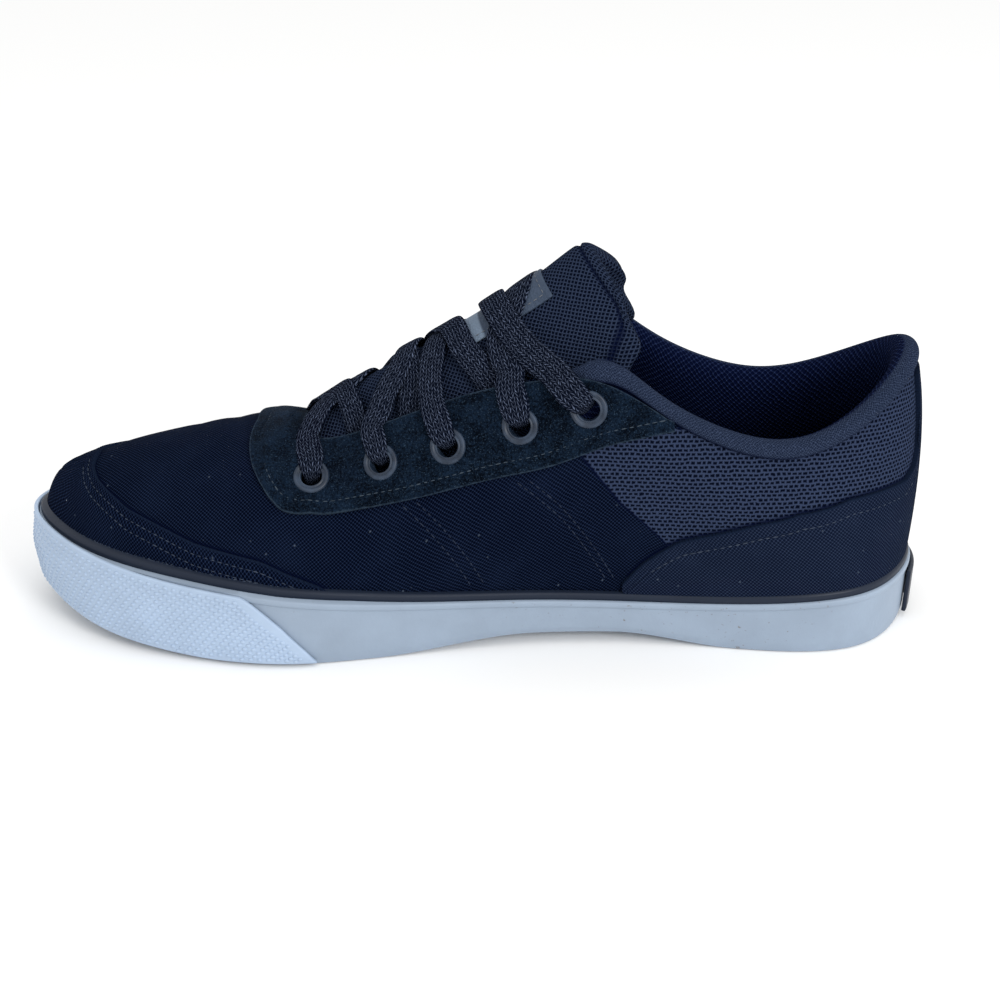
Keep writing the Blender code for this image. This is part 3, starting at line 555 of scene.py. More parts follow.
def math_node(tree, operation, first, second=0.0, third=0.0):
    made = add_node(tree, "ShaderNodeMath", {0: first, 1: second, 2: third}, operation=operation)
    return made.outputs[0]


def blend_colours(tree, factor, first, second):
    """Colour between two others; either may be a socket."""
    made = tree.nodes.new("ShaderNodeMix")
    made.data_type = "RGBA"
    for key, value in ((0, factor), (6, first), (7, second)):
        if isinstance(value, bpy.types.NodeSocket):
            tree.links.new(value, made.inputs[key])
        else:
            made.inputs[key].default_value = value if key == 0 else (*value, 1.0)
    return made.outputs[2]


def ramp(tree, value, low, high):
    """Value as a share between two limits."""
    made = add_node(tree, "ShaderNodeMapRange", {0: value, 1: low, 2: high}, clamp=True)
    return made.outputs[0]


def on_line(tree, distance, far, near):
    """Share that is 1 on a line and fades out at a distance from it."""
    return ramp(tree, math_node(tree, "ABSOLUTE", distance), far, near)


def noise(tree, where, scale, detail=2.0, roughness=0.5):
    sockets = {"Vector": where, "Scale": scale, "Detail": detail, "Roughness": roughness}
    return add_node(tree, "ShaderNodeTexNoise", sockets).outputs["Fac"]


def finish_material(name, colour, roughness, **sockets):
    """A new Principled material and its tree; constants go straight on the shader's sockets."""
    material = bpy.data.materials.new(name)
    material.use_nodes = True
    shader = material.node_tree.nodes["Principled BSDF"]
    shader.inputs["Base Color"].default_value = (*colour, 1.0)
    shader.inputs["Roughness"].default_value = roughness
    for key, value in sockets.items():
        shader.inputs[key.replace("_", " ")].default_value = value
    return material, material.node_tree, shader


def cloth_map(tree, name="Cloth"):
    return add_node(tree, "ShaderNodeUVMap", uv_map=name).outputs[0]


def object_place(tree):
    return add_node(tree, "ShaderNodeTexCoord").outputs["Object"]


def set_bump(tree, shader, height, depth_mm):
    sockets = {"Height": height, "Distance": depth_mm * MM, "Strength": 1.0}
    bump = add_node(tree, "ShaderNodeBump", sockets)
    tree.links.new(bump.outputs[0], shader.inputs["Normal"])


def set_colour(tree, shader, colour):
    tree.links.new(colour, shader.inputs["Base Color"])


def split_xy(tree, vector):
    made = add_node(tree, "ShaderNodeSeparateXYZ", {0: vector})
    return made.outputs[0], made.outputs[1]


def wave(tree, value, pitch, shift=0.0):
    """Sine along a map's direction, one crest in every two pitches."""
    scaled = math_node(tree, "MULTIPLY_ADD", value, math.pi / pitch, shift)
    return math_node(tree, "SINE", scaled)


def crumpled(tree, vector, scale, amount):
    """Map places shifted a little, so that threads don't run dead straight."""
    sockets = {"Vector": vector, "Scale": scale, "Detail": 1.0}
    wander = add_node(tree, "ShaderNodeTexNoise", sockets).outputs["Color"]
    moved = add_node(
        tree,
        "ShaderNodeVectorMath",
        {0: wander, 1: (amount, amount, amount), 2: vector},
        operation="MULTIPLY_ADD",
    )
    return moved.outputs[0]


def plain_weave(tree, where, pitch):
    """Height of threads that pass over and under each other, from -1 to 1."""
    u, v = split_xy(tree, where)
    over = math_node(tree, "MULTIPLY", wave(tree, u, pitch), wave(tree, v, pitch))
    ribs = [wave(tree, value, pitch / 2, QUARTER_TURN) for value in (u, v)]
    return math_node(tree, "MULTIPLY_ADD", math_node(tree, "MULTIPLY", *ribs), 0.35, over)


def woven(tree, where, weave):
    """Height of a plain weave whose threads wander."""
    return plain_weave(tree, crumpled(tree, where, weave.scale, weave.wander), weave.pitch)


def open_weave(tree, where, pitch_u, pitch_v):
    """Height of a coarse knit with a short slit at each step of its staggered rows."""
    u, v = split_xy(tree, where)
    row = math_node(tree, "FLOOR", math_node(tree, "DIVIDE", v, pitch_v))
    stepped = math_node(tree, "MULTIPLY_ADD", row, pitch_u * 0.5, u)
    bars = wave(tree, stepped, pitch_u / 2)
    rows = math_node(tree, "ABSOLUTE", wave(tree, v, pitch_v))
    slits = math_node(tree, "MINIMUM", ramp(tree, bars, -0.8, 0.0), ramp(tree, rows, 0.4, 0.9))
    return math_node(tree, "SUBTRACT", 1.0, slits)


def lint(tree, where, amount):
    """Sparse pale specks caught in the cloth."""
    cells = add_node(tree, "ShaderNodeTexVoronoi", {"Vector": where, "Scale": LINT_SCALE})
    near = ramp(tree, cells.outputs["Distance"], 0.07, 0.02)
    return math_node(tree, "MULTIPLY", near, amount)


# Finishes, with the colours of the hollows and of the threads or ridges
Tone = namedtuple("Tone", "low high")
CANVAS = Tone((0.0004, 0.0013, 0.0065), (0.0155, 0.0275, 0.067))
COUNTER = Tone((0.0030, 0.0058, 0.0175), (0.0280, 0.0420, 0.0820))
MESH = Tone((0.0008, 0.0018, 0.0075), (0.027, 0.039, 0.078))
SUEDE = Tone((0.0003, 0.0011, 0.0034), (0.0060, 0.0145, 0.031))
TONGUE_CLOTH = Tone((0.0005, 0.0015, 0.007), (0.026, 0.038, 0.073))
LINING = Tone((0.0012, 0.003, 0.018), (0.020, 0.033, 0.095))
ROLL = Tone((0.003, 0.006, 0.018), (0.044, 0.062, 0.112))
LACE = Tone((0.0012, 0.0025, 0.008), (0.125, 0.158, 0.245))
ENAMEL = Tone((0.009, 0.017, 0.033), (0.032, 0.052, 0.088))
PATCH = Tone((0.024, 0.038, 0.066), (0.052, 0.074, 0.115))
# Paler line on a panel's folded edge: partly the raw edge's own colour, partly a painted highlight
FOLD_PALE_AND_HIGHLIGHT = (0.0065, 0.012, 0.029)
LINT = (0.10, 0.13, 0.18)
SUEDE_EDGE = (0.022, 0.036, 0.056)
SUEDE_FIBRE = (0.030, 0.052, 0.082)
PATCH_PALE = (0.15, 0.20, 0.27)
WHITE_RUBBER = (0.270, 0.334, 0.422)
# Lighter copy of the white rubber for the toe strip, painted as more strongly lit
TOE_RUBBER_PAINTED_LIT = (0.385, 0.485, 0.63)
BLACK_RUBBER = (0.0115, 0.0175, 0.033)
RUBBER_DIRT = (0.15, 0.13, 0.11)
CLOTH_THREAD = (0.050, 0.066, 0.10)
QUARTER_THREAD = (0.022, 0.032, 0.060)
SUEDE_THREAD = (0.052, 0.072, 0.096)
LABEL_THREAD = (0.16, 0.175, 0.20)
FLOOR_PALE = (0.95, 0.95, 0.945)
# Thread pitch, scale and reach of the threads' wander, and depth of relief, in millimetres
Weave = namedtuple("Weave", "pitch scale wander depth")
CANVAS_WEAVE = Weave(0.58, 0.35, 0.45, 0.16)
SOCK_WEAVE = Weave(0.8, 0.4, 0.45, 0.3)
TONGUE_WEAVE = Weave(0.76, 0.4, 0.6, 0.25)
ROLL_WEAVE = Weave(0.46, 0.9, 1.1, 0.35)
LINING_WEAVE = Weave(0.95, 0.4, 1.0, 0.35)
MESH_PITCH, MESH_SCALE, MESH_WANDER, MESH_DEPTH = (1.6, 1.25), 0.5, 0.9, 0.2
LINT_SCALE, LINT_SHARE = 0.16, 0.6
BRAID_CORD, BRAID_THREAD, BRAID_SLANT, BRAID_DEPTH = 0.95, 0.66, 2.2, 0.35
LINING_START, LINING_FULL = 8.5, 9.5
BAND_START, BAND_END, BAND_FADE = 4.0, 10.0, 0.6
# Place along the shoe, reach and soft edge of the rubbed spot on the white wall, in metres
SCUFF_AT, SCUFF_FAR, SCUFF_NEAR, SCUFF_SIDE = 0.081, 0.035, 0.012, -0.01
CLOTH_ROUGHNESS = 0.9
CLOTH_SOCKETS = {
    "Specular_IOR_Level": 0.01,
    "Sheen_Weight": 0.006,
    "Sheen_Roughness": 0.4,
    "Sheen_Tint": (0.45, 0.65, 1.0, 1.0),
}
SUEDE_SOCKETS = {
    **CLOTH_SOCKETS,
    "Specular_IOR_Level": 0.03,
    "Sheen_Weight": 0.03,
    "Sheen_Roughness": 0.5,
}


def two_tone(tree, share, tone):
    return blend_colours(tree, share, tone.low, tone.high)


def cloth_material(name, tone, roughness=CLOTH_ROUGHNESS):
    return finish_material(name, tone.low, roughness, **CLOTH_SOCKETS)


def canvas_cloth(tree, where, tone):
    """Colour and height of the fine plain weave."""
    height = woven(tree, where, CANVAS_WEAVE)
    worn = noise(tree, where, 0.05, 3.0, 0.6)
    share = math_node(tree, "MULTIPLY_ADD", worn, 0.4, ramp(tree, height, -0.25, 1.15))
    colour = two_tone(tree, math_node(tree, "SUBTRACT", share, 0.2), tone)
    return blend_colours(tree, lint(tree, where, LINT_SHARE), colour, LINT), height


def canvas_finish(name, tone):
    """Plain weave, folded under along a panel's edge, where a paler line is partly the raw edge's own
    colour and partly a painted highlight.
    """
    material, tree, shader = cloth_material(name, tone)
    colour, height = canvas_cloth(tree, cloth_map(tree), tone)
    _, from_edge = split_xy(tree, cloth_map(tree, "Edges"))
    # Paler line along the folded edge: partly the raw edge's colour, partly a painted highlight
    set_colour(tree, shader, blend_colours(tree, ramp(tree, from_edge, 0.9, 0.2), colour, FOLD_PALE_AND_HIGHLIGHT))
    set_bump(tree, shader, height, CANVAS_WEAVE.depth)
    return material


def upper_finish():
    """Canvas in front of the panel seam, open weave behind it, with painted shade in dark lines along the
    seam, under the edges of the panels laid over it and under the collar's roll.
    """
    material, tree, shader = cloth_material("quarter cloth", CANVAS)
    flat = cloth_map(tree)
    canvas_colour, canvas = canvas_cloth(tree, flat, CANVAS)
    along, _ = split_xy(tree, flat)
    level = add_node(tree, "ShaderNodeSeparateXYZ", {0: object_place(tree)}).outputs[2]
    level = math_node(tree, "DIVIDE", level, MM)
    upright_map = add_node(tree, "ShaderNodeCombineXYZ", {0: along, 1: level}).outputs[0]
    coarse = open_weave(tree, crumpled(tree, upright_map, MESH_SCALE, MESH_WANDER), *MESH_PITCH)
    # The second map gives the distance from the lines of painted shade under the panels' edges and the
    # collar's roll
    behind, above = split_xy(tree, cloth_map(tree, "Edges"))
    panel = ramp(tree, behind, -0.15, 0.15)
    colour = blend_colours(tree, panel, canvas_colour, two_tone(tree, coarse, MESH))
    # Painted shade: dark lines along the panel seam and under the overlaid panels' edges and the roll
    dark = math_node(tree, "MAXIMUM", on_line(tree, above, 1.3, 0.3), on_line(tree, behind, 0.9, 0.2))
    dark = math_node(tree, "MULTIPLY", dark, 0.85)
    set_colour(tree, shader, blend_colours(tree, dark, colour, LINING.low))
    fold = math_node(tree, "MULTIPLY", ramp(tree, behind, 0.5, -0.1), 2.5)
    raised = math_node(tree, "MULTIPLY", coarse, 1.6)
    cloth = add_node(tree, "ShaderNodeMix", {0: panel, 2: canvas, 3: raised})
    set_bump(tree, shader, math_node(tree, "ADD", cloth.outputs[0], fold), MESH_DEPTH)
    return material


def suede_finish():
    """Short nap in brushed patches, paler along the raw edges."""
    material, tree, shader = finish_material("black suede", SUEDE.low, 0.95, **SUEDE_SOCKETS)
    where = object_place(tree)
    nap = noise(tree, where, 1500.0, 3.0, 0.7)
    brushed = noise(tree, where, 140.0, 4.0, 0.65)
    tone = math_node(tree, "MULTIPLY_ADD", brushed, 0.8, math_node(tree, "MULTIPLY", nap, 1.1))
    colour = two_tone(tree, ramp(tree, tone, 0.8, 1.2), SUEDE)
    fibres = ramp(tree, noise(tree, where, 2600.0, 1.0), 0.6, 0.75)
    colour = blend_colours(tree, math_node(tree, "MULTIPLY", fibres, 0.7), colour, SUEDE_FIBRE)
    low, high = split_xy(tree, cloth_map(tree, "Edges"))
    rim = math_node(tree, "MINIMUM", low, high)
    frayed = math_node(tree, "MULTIPLY_ADD", noise(tree, where, 900.0), 1.2, rim)
    set_colour(tree, shader, blend_colours(tree, ramp(tree, frayed, 1.1, 0.5), colour, SUEDE_EDGE))
    set_bump(tree, shader, math_node(tree, "MULTIPLY_ADD", brushed, 1.5, nap), 0.35)
    return material


def sock_finish():
    """Even knit of small raised knots under the foot."""
    material, tree, shader = cloth_material("sock lining", LINING)
    height = woven(tree, cloth_map(tree), SOCK_WEAVE)
    set_colour(tree, shader, two_tone(tree, ramp(tree, height, -0.35, 1.15), LINING))
    set_bump(tree, shader, height, SOCK_WEAVE.depth)
    return material


def tongue_finish():
    """Knit with a dark hollow between its knots, with painted shade in the groove pressed in along the
    piping.
    """
    material, tree, shader = cloth_material("tongue cloth", TONGUE_CLOTH)
    height = woven(tree, cloth_map(tree), TONGUE_WEAVE)
    colour = two_tone(tree, ramp(tree, height, -0.6, 0.35), TONGUE_CLOTH)
    from_rim, from_top = split_xy(tree, cloth_map(tree, "Edges"))
    inset = math_node(tree, "SUBTRACT", math_node(tree, "MINIMUM", from_rim, from_top), PIPING)
    # Painted shade in the groove along the piping
    pressed = math_node(tree, "MULTIPLY", on_line(tree, inset, 0.9, 0.2), 0.75)
    set_colour(tree, shader, blend_colours(tree, pressed, colour, LINING.low))
    set_bump(tree, shader, height, TONGUE_WEAVE.depth)
    return material


def collar_finish():
    """Smooth knit over the roll, darkened by painted shade along its lower edge, small raised dots on the
    lining inside.
    """
    material, tree, shader = cloth_material("collar cloth", ROLL)
    flat = cloth_map(tree)
    from_rim, _ = split_xy(tree, cloth_map(tree, "Edges"))
    inside = ramp(tree, from_rim, LINING_START, LINING_FULL)
    knit = woven(tree, flat, ROLL_WEAVE)
    dots = woven(tree, flat, LINING_WEAVE)
    roll = two_tone(tree, ramp(tree, knit, -0.9, 1.3), ROLL)
    # Painted shade along the roll's lower edge, where it meets the upper
    roll = blend_colours(tree, ramp(tree, from_rim, 2.3, 1.0), roll, LINING.low)
    lining = two_tone(tree, ramp(tree, dots, -0.1, 1.2), LINING)
    set_colour(tree, shader, blend_colours(tree, inside, roll, lining))
    shallow = math_node(tree, "MULTIPLY", knit, 0.3)
    height = add_node(tree, "ShaderNodeMix", {0: inside, 2: shallow, 3: dots})
    set_bump(tree, shader, height.outputs[0], LINING_WEAVE.depth)
    return material


def rubber_finish(name, colour, roughness=0.5, marks=0.0, gloss=0.3):
    """Moulded rubber, a little cloudy, with specks of dirt where it is marked."""
    material, tree, shader = finish_material(name, colour, roughness, Specular_IOR_Level=gloss)
    where = object_place(tree)
    patchy = noise(tree, where, 60.0, 3.0, 0.6)
    shade = tuple(channel * 0.9 for channel in colour)
    tint = blend_colours(tree, ramp(tree, patchy, 0.35, 0.7), colour, shade)
    if marks:
        specks = ramp(tree, noise(tree, where, 650.0, 2.0, 0.6), 0.66, 0.74)
        worn = ramp(tree, noise(tree, where, 28.0, 2.0), 0.52, 0.66)
        x, y = split_xy(tree, where)
        rubbed = on_line(tree, math_node(tree, "SUBTRACT", x, SCUFF_AT), SCUFF_FAR, SCUFF_NEAR)
        rubbed = math_node(tree, "MULTIPLY", rubbed, ramp(tree, y, 0.0, SCUFF_SIDE))
        worn = math_node(tree, "MAXIMUM", worn, rubbed)
        dirt = math_node(tree, "MULTIPLY", math_node(tree, "MULTIPLY", specks, worn), marks)
        tint = blend_colours(tree, dirt, tint, RUBBER_DIRT)
    set_colour(tree, shader, tint)
    grain = noise(tree, where, 900.0, 2.0)
    set_bump(tree, shader, math_node(tree, "MULTIPLY_ADD", patchy, 2.0, grain), 0.05)
    return material


def lace_finish():
    """Flat braid: short slanted threads that meet in rows of points along the lace."""
    material, tree, shader = cloth_material("flat lace", LACE, 0.85)
    flat = cloth_map(tree)
    u, v = split_xy(tree, crumpled(tree, crumpled(tree, flat, 0.25, 1.0), 1.2, 0.5))
    zigzag = math_node(tree, "PINGPONG", v, BRAID_CORD)
    threads = wave(tree, math_node(tree, "MULTIPLY_ADD", zigzag, BRAID_SLANT, u), BRAID_THREAD)
    cords = math_node(tree, "ABSOLUTE", wave(tree, v, BRAID_CORD))
    height = math_node(tree, "MULTIPLY", math_node(tree, "MULTIPLY_ADD", threads, 0.5, 0.5), cords)
    patchy = ramp(tree, noise(tree, flat, 0.9, 2.0), 0.25, 0.75)
    share = math_node(tree, "MULTIPLY", ramp(tree, height, 0.22, 0.8), patchy)
    set_colour(tree, shader, two_tone(tree, share, LACE))
    set_bump(tree, shader, height, BRAID_DEPTH)
    return material


def thread_finish(name, colour):
    """Twisted thread, in light and dark turns."""
    material, tree, shader = finish_material(name, colour, 0.7, Specular_IOR_Level=0.1)
    tone = noise(tree, object_place(tree), 500.0)
    dark = tuple(channel * 0.5 for channel in colour)
    set_colour(tree, shader, blend_colours(tree, tone, dark, colour))
    return material


def enamel_finish():
    """Painted metal, rubbed in places."""
    material, tree, shader = finish_material("dark enamel", ENAMEL.low, 0.35, Specular_IOR_Level=0.35)
    worn = noise(tree, object_place(tree), 240.0, 3.0)
    set_colour(tree, shader, two_tone(tree, ramp(tree, worn, 0.4, 0.75), ENAMEL))
    tree.links.new(ramp(tree, worn, -0.4, 1.6), shader.inputs["Roughness"])
    return material


def label_finish():
    """Grained leather with a paler band across it."""
    material, tree, shader = finish_material("grey patch", PATCH.low, 0.6, Specular_IOR_Level=0.2)
    where = object_place(tree)
    pores = add_node(tree, "ShaderNodeTexVoronoi", {"Vector": where, "Scale": 1300.0})
    tone = noise(tree, where, 150.0)
    along, _ = split_xy(tree, cloth_map(tree))
    begins = ramp(tree, along, BAND_START, BAND_START + BAND_FADE)
    ends = ramp(tree, along, BAND_END, BAND_END - BAND_FADE)
    band = math_node(tree, "MULTIPLY", begins, ends)
    set_colour(tree, shader, blend_colours(tree, band, two_tone(tree, tone, PATCH), PATCH_PALE))
    set_bump(tree, shader, pores.outputs["Distance"], 0.2)
    return material


# Things set one by one along a line or over a face
PLACES_INPUTS = (
    ("Places", "Geometry"),
    ("Piece", "Object"),
    ("Size", "Vector"),
    ("Unevenness", "Float"),
    ("Seed", "Int"),
    ("Finish", "Material"),
)


def places_tree():
    """Sets a copy of a small piece on every point, turned to the point's own directions."""
    tree = bpy.data.node_groups.new("set on places", "GeometryNodeTree")
    for name, kind in PLACES_INPUTS:
        tree.interface.new_socket(name, in_out="INPUT", socket_type="NodeSocket" + kind)
    tree.interface.new_socket("Pieces", in_out="OUTPUT", socket_type="NodeSocketGeometry")
    given = tree.nodes.new("NodeGroupInput").outputs
    directions = {}
    for name in ("along", "up"):
        read = add_node(tree, "GeometryNodeInputNamedAttribute", {"Name": name}, data_type="FLOAT_VECTOR")
        directions[name] = read.outputs[0]
    stand = add_node(tree, "FunctionNodeAlignRotationToVector", {"Vector": directions["up"]}, axis="Z")
    turn = add_node(
        tree,
        "FunctionNodeAlignRotationToVector",
        {"Rotation": stand.outputs[0], "Vector": directions["along"]},
        axis="X",
        pivot_axis="Z",
    )
    least = math_node(tree, "SUBTRACT", 1.0, given["Unevenness"])
    most = math_node(tree, "ADD", 1.0, given["Unevenness"])
    jitter = add_node(tree, "FunctionNodeRandomValue", {"Seed": given["Seed"]}, data_type="FLOAT_VECTOR")
    tree.links.new(least, jitter.inputs["Min"])
    tree.links.new(most, jitter.inputs["Max"])
    size = add_node(
        tree, "ShaderNodeVectorMath", {0: given["Size"], 1: jitter.outputs[0]}, operation="MULTIPLY"
    )
    shape = add_node(tree, "GeometryNodeObjectInfo", {"Object": given["Piece"]})
    copies = add_node(
        tree,
        "GeometryNodeInstanceOnPoints",
        {
            "Points": given["Places"],
            "Instance": shape.outputs["Geometry"],
            "Rotation": turn.outputs[0],
            "Scale": size.outputs[0],
        },
    )
    real = add_node(tree, "GeometryNodeRealizeInstances", {0: copies.outputs[0]})
    dressed = add_node(
        tree, "GeometryNodeSetMaterial", {"Geometry": real.outputs[0], "Material": given["Finish"]}
    )
    add_node(tree, "NodeGroupOutput", {0: dressed.outputs[0]})
    return tree


PLACES_TREE = places_tree()


def set_on_places(name, places, shape, size, material, unevenness=0.0, seed=1):
    """A piece made of copies of a shape; places are points, directions along and directions up."""
    points, along, up = (np.concatenate([place[k] for place in places]) for k in range(3))
    mesh = bpy.data.meshes.new(name)
    mesh.from_pydata((points * MM).tolist(), [], [])
    for key, vectors in (("along", along), ("up", up)):
        layer = mesh.attributes.new(key, "FLOAT_VECTOR", "POINT")
        layer.data.foreach_set("vector", vectors.astype(np.float32).ravel())
    item = bpy.data.objects.new(name, mesh)
    bpy.context.scene.collection.objects.link(item)
    modifier = item.modifiers.new("Places", "NODES")
    modifier.node_group = PLACES_TREE
    values = {"Piece": shape, "Size": size, "Unevenness": unevenness, "Seed": seed, "Finish": material}
    for socket in PLACES_TREE.interface.items_tree:
        if socket.name in values:
            modifier[socket.identifier] = values[socket.name]
    return settle(item, COPY_CREASE)


def turned(profile, steps):
    """Grid of a profile of out and up turned once round the upright axis."""
    angles = np.linspace(0, 2 * math.pi, steps + 1)
    profile = np.array(profile, float)
    ring = np.stack((np.cos(angles), np.sin(angles)), -1)
    points = np.empty((len(angles), len(profile), 3))
    points[..., :2] = ring[:, None, :] * profile[None, :, :1]
    points[..., 2] = profile[None, :, 1]
    return patch(points)


def template(name, profile, steps):
    """Small shape to copy, kept out of the picture."""
    item = new_piece(name, [turned(profile, steps)], bpy.data.materials.new(name))
    item.data.shade_smooth()
    item.hide_render = True
    return item


def ball_profile(rows):
    """Half circle of radius 1, pole to pole."""
    angles = np.linspace(-math.pi / 2, math.pi / 2, rows + 1)
    out = np.cos(angles)
    out[[0, -1]] = 0.0
    return np.stack((out, np.sin(angles)), -1)


def resampled(points, pitch):
    """Places along a line at an even pitch, as positions between its given points."""
    run = run_along(points)
    count = max(int(run[-1] / pitch), 1)
    return np.interp((np.arange(count) + 0.5) * run[-1] / count, run, np.arange(len(points)))


def between(values, places):
    """Rows of values at fractional places."""
    low = np.clip(np.floor(places).astype(int), 0, len(values) - 2)
    part = (places - low)[:, None]
    return values[low] * (1 - part) + values[low + 1] * part


def row_of_places(points, up, pitch):
    """Points, directions along and directions up for things set along a line."""
    places = resampled(points, pitch)
    along = np.gradient(points, axis=0)
    return between(points, places), unit(between(along, places)), unit(between(up, places))


def line_on_upper(side, section, share, out):
    """Points just over the upper along a line of sections and shares, with their normals."""
    section, share = np.broadcast_arrays(np.asarray(section, float), np.asarray(share, float))
    side = np.full(section.shape, side)
    return upper_skin(side, section, share, out), upper_normal(side, section, share)


# Stations along the shoe
def fine(start, end, each=14):
    """Evenly spaced section values."""
    return np.linspace(start, end, max(int(round((end - start) * each)), 2) + 1)


def round_the_heel(sections):
    """Side and section from the inner side of the shoe round its heel to the outer one."""
    sides = np.concatenate((np.full(len(sections), MEDIAL), np.full(len(sections) - 1, LATERAL)))
    return sides, np.concatenate((sections, sections[-2::-1]))


def round_the_sole(each=16):
    """Side and section of each station, once round the shoe and back to the first."""
    return round_the_heel(fine(0, HEEL_BACK, each))


# Sole
TOE_UNDERCUT, TOE_UNDERCUT_SHARE, TOE_LEAN, TOE_START = 1.0, 0.7, 1.5, 240
FOXING_LIFT, FOOT_ROUNDING, FOOT_SHARE = 0.4, 0.5, 0.15
FOOT_SHARES = (0.0, 0.02, 0.06, 0.12, 0.2)
FACE_SHARES = np.linspace(0.3, 0.95, 8)
BUMPER_SEAT, BUMPER_OUT, BUMPER_ROUNDING, BUMPER_TOP_END = 0.3, 1.55, 0.45, 3.55
STRIPE_INSET, STRIPE_THICK_MIN, STRIPE_SUNK = 2.0, 2.1, -0.2
SOLE_MIDDLE, SHOE_MIDDLE = (0, 0, 20), (0, 0, 30)
# Section of the raised bead under the side wall's top edge, by shares of its height and depth
BeadRow = namedtuple("BeadRow", "lift out")
BEAD_HEIGHT, BEAD_PROUD, BEAD_FADE = 2.2, 0.45, 0.3
BEAD_PROFILE = (
    BeadRow(-0.01, 0.0),
    BeadRow(0.1, 0.75),
    BeadRow(0.3, 1.0),
    BeadRow(0.7, 1.0),
    BeadRow(0.9, 0.7),
    BeadRow(1.0, 0.0),
)


def foxing_point(side, section, share, out=0.0):
    """Points on the side wall's plain outer face, by the share of its height."""
    side, section, share, out = np.broadcast_arrays(side, section, share, np.asarray(out, float))
    edge, outward = sole_edge(side, section)
    x, y = edge[..., 0], edge[..., 1]
    foot = floor_up(x, y) + FOXING_LIFT
    up = foot + share * (wall_top_up(x) - foot)
    toe = ease((HEEL_TO_CENTRE - x - TOE_START) / (SOLE_LENGTH - TOE_START))
    bulge = TOE_UNDERCUT * (1 - ease(share / TOE_UNDERCUT_SHARE)) + TOE_LEAN * ease(2 * share - 1)
    drawn_in = toe * bulge + FOOT_ROUNDING * (1 - ease(share / FOOT_SHARE))
    return upright(edge + (out - drawn_in)[..., None] * outward, up)


def make_foxing(material):
    """White side wall: foot, face, raised bead under the top edge, and back."""
    sides, sections = round_the_sole()
    edge, _ = sole_edge(sides, sections)
    foot = floor_up(edge[:, 0], edge[:, 1]) + FOXING_LIFT
    top = wall_top_up(edge[:, 0])
    bead = 1 - BEAD_HEIGHT / (top - foot)
    proud = BEAD_PROUD * ease((sections - BUMPER_TOP_END + 0.1) / BEAD_FADE)
    inner, _ = sole_edge(sides, sections, FOXING_WALL)
    columns = [upright(inner, foot)]
    for share in FOOT_SHARES:
        columns.append(foxing_point(sides, sections, share))
    for part in FACE_SHARES:
        columns.append(foxing_point(sides, sections, bead * part))
    for lift, out in BEAD_PROFILE:
        columns.append(foxing_point(sides, sections, bead + (1 - bead) * lift, proud * out))
    shelf = foot + OUTSOLE_THICK
    for up in (top, (top + shelf) / 2, shelf + 0.5):
        share = upper_share_at(sides, sections, up)
        columns.append(upper_skin(sides, sections, share, GAP))
    columns.append(columns[0])
    item = new_piece("foxing", [patch(np.stack(columns, 1))], material)
    return place_piece(settle(item), "white_rubber", "foxing")


StripeRow = namedtuple("StripeRow", "rise lean")
STRIPE_PROFILE = (
    StripeRow(-0.1, 0.2),
    StripeRow(0.2, 0.02),
    StripeRow(0.8, 0.0),
    StripeRow(1.5, 0.08),
    StripeRow(2.0, 0.3),
    StripeRow(2.35, 0.8),
)


def make_stripe(material):
    """Black rubber line that laps the cloth just above the white wall."""
    sides, sections = round_the_sole()
    edge, outward = sole_edge(sides, sections, STRIPE_INSET)
    low = wall_top_up(edge[:, 0])
    columns = []
    for rise, lean in STRIPE_PROFILE:
        up = low + rise
        skin = upper_skin(sides, sections, upper_share_at(sides, sections, up), 0.0)
        room = np.sum((edge - skin[:, :2]) * outward, axis=1)
        out = np.maximum(room, STRIPE_THICK_MIN) - lean
        columns.append(skin + out[:, None] * upright(outward, 0.0))
    for rise in (STRIPE_PROFILE[-1].rise, 0.0):
        share = upper_share_at(sides, sections, low + rise)
        columns.append(upper_skin(sides, sections, share, STRIPE_SUNK))
    columns.append(columns[0])
    item = new_piece("foxing_stripe", [patch(np.stack(columns, 1))], material)
    return place_piece(settle(item), "black_rubber", "foxing_stripe")


# Slanted end of the toe strip, as rows of the wall's share and the section
EndRow = namedtuple("EndRow", "share section")
BUMPER_END = (
    EndRow(0.05, 4.46),
    EndRow(0.25, 4.30),
    EndRow(0.525, 4.05),
    EndRow(0.80, 3.83),
    EndRow(0.93, 3.71),
    EndRow(1.00, 3.60),
)
BUMPER_RAISE, BUMPER_LEVEL, BUMPER_FALL = 0.07, 0.45, 0.4
BUMPER_FOOT, BUMPER_RIM = 0.05, 0.97
BUMPER_SHARES = (0.05, 0.08, 0.14, *np.linspace(0.2, 0.9, 11), 0.945, 0.97, 0.985)
DOT_PITCH, DOT_ROW, DOT_RIM, DOT_END, DOT_LOWEST = 2.7, 1.75, 1.9, 3.4, 0.08
DOT_SIZE = (0.8, 0.62, 0.42)


def bumper_point(turn, share, out):
    """Points on the toe strip; turn runs from -1 to 1 between its slanted ends."""
    turn, share = np.broadcast_arrays(turn, share)
    end = np.interp(share, *zip(*BUMPER_END))
    falling = 1 - ease((np.abs(turn) - BUMPER_LEVEL) / BUMPER_FALL)
    share = share + BUMPER_RAISE * falling * ease(2 * share - 1)
    side = np.where(turn < 0, MEDIAL, LATERAL)
    return foxing_point(side, np.abs(turn) * end, share, out)


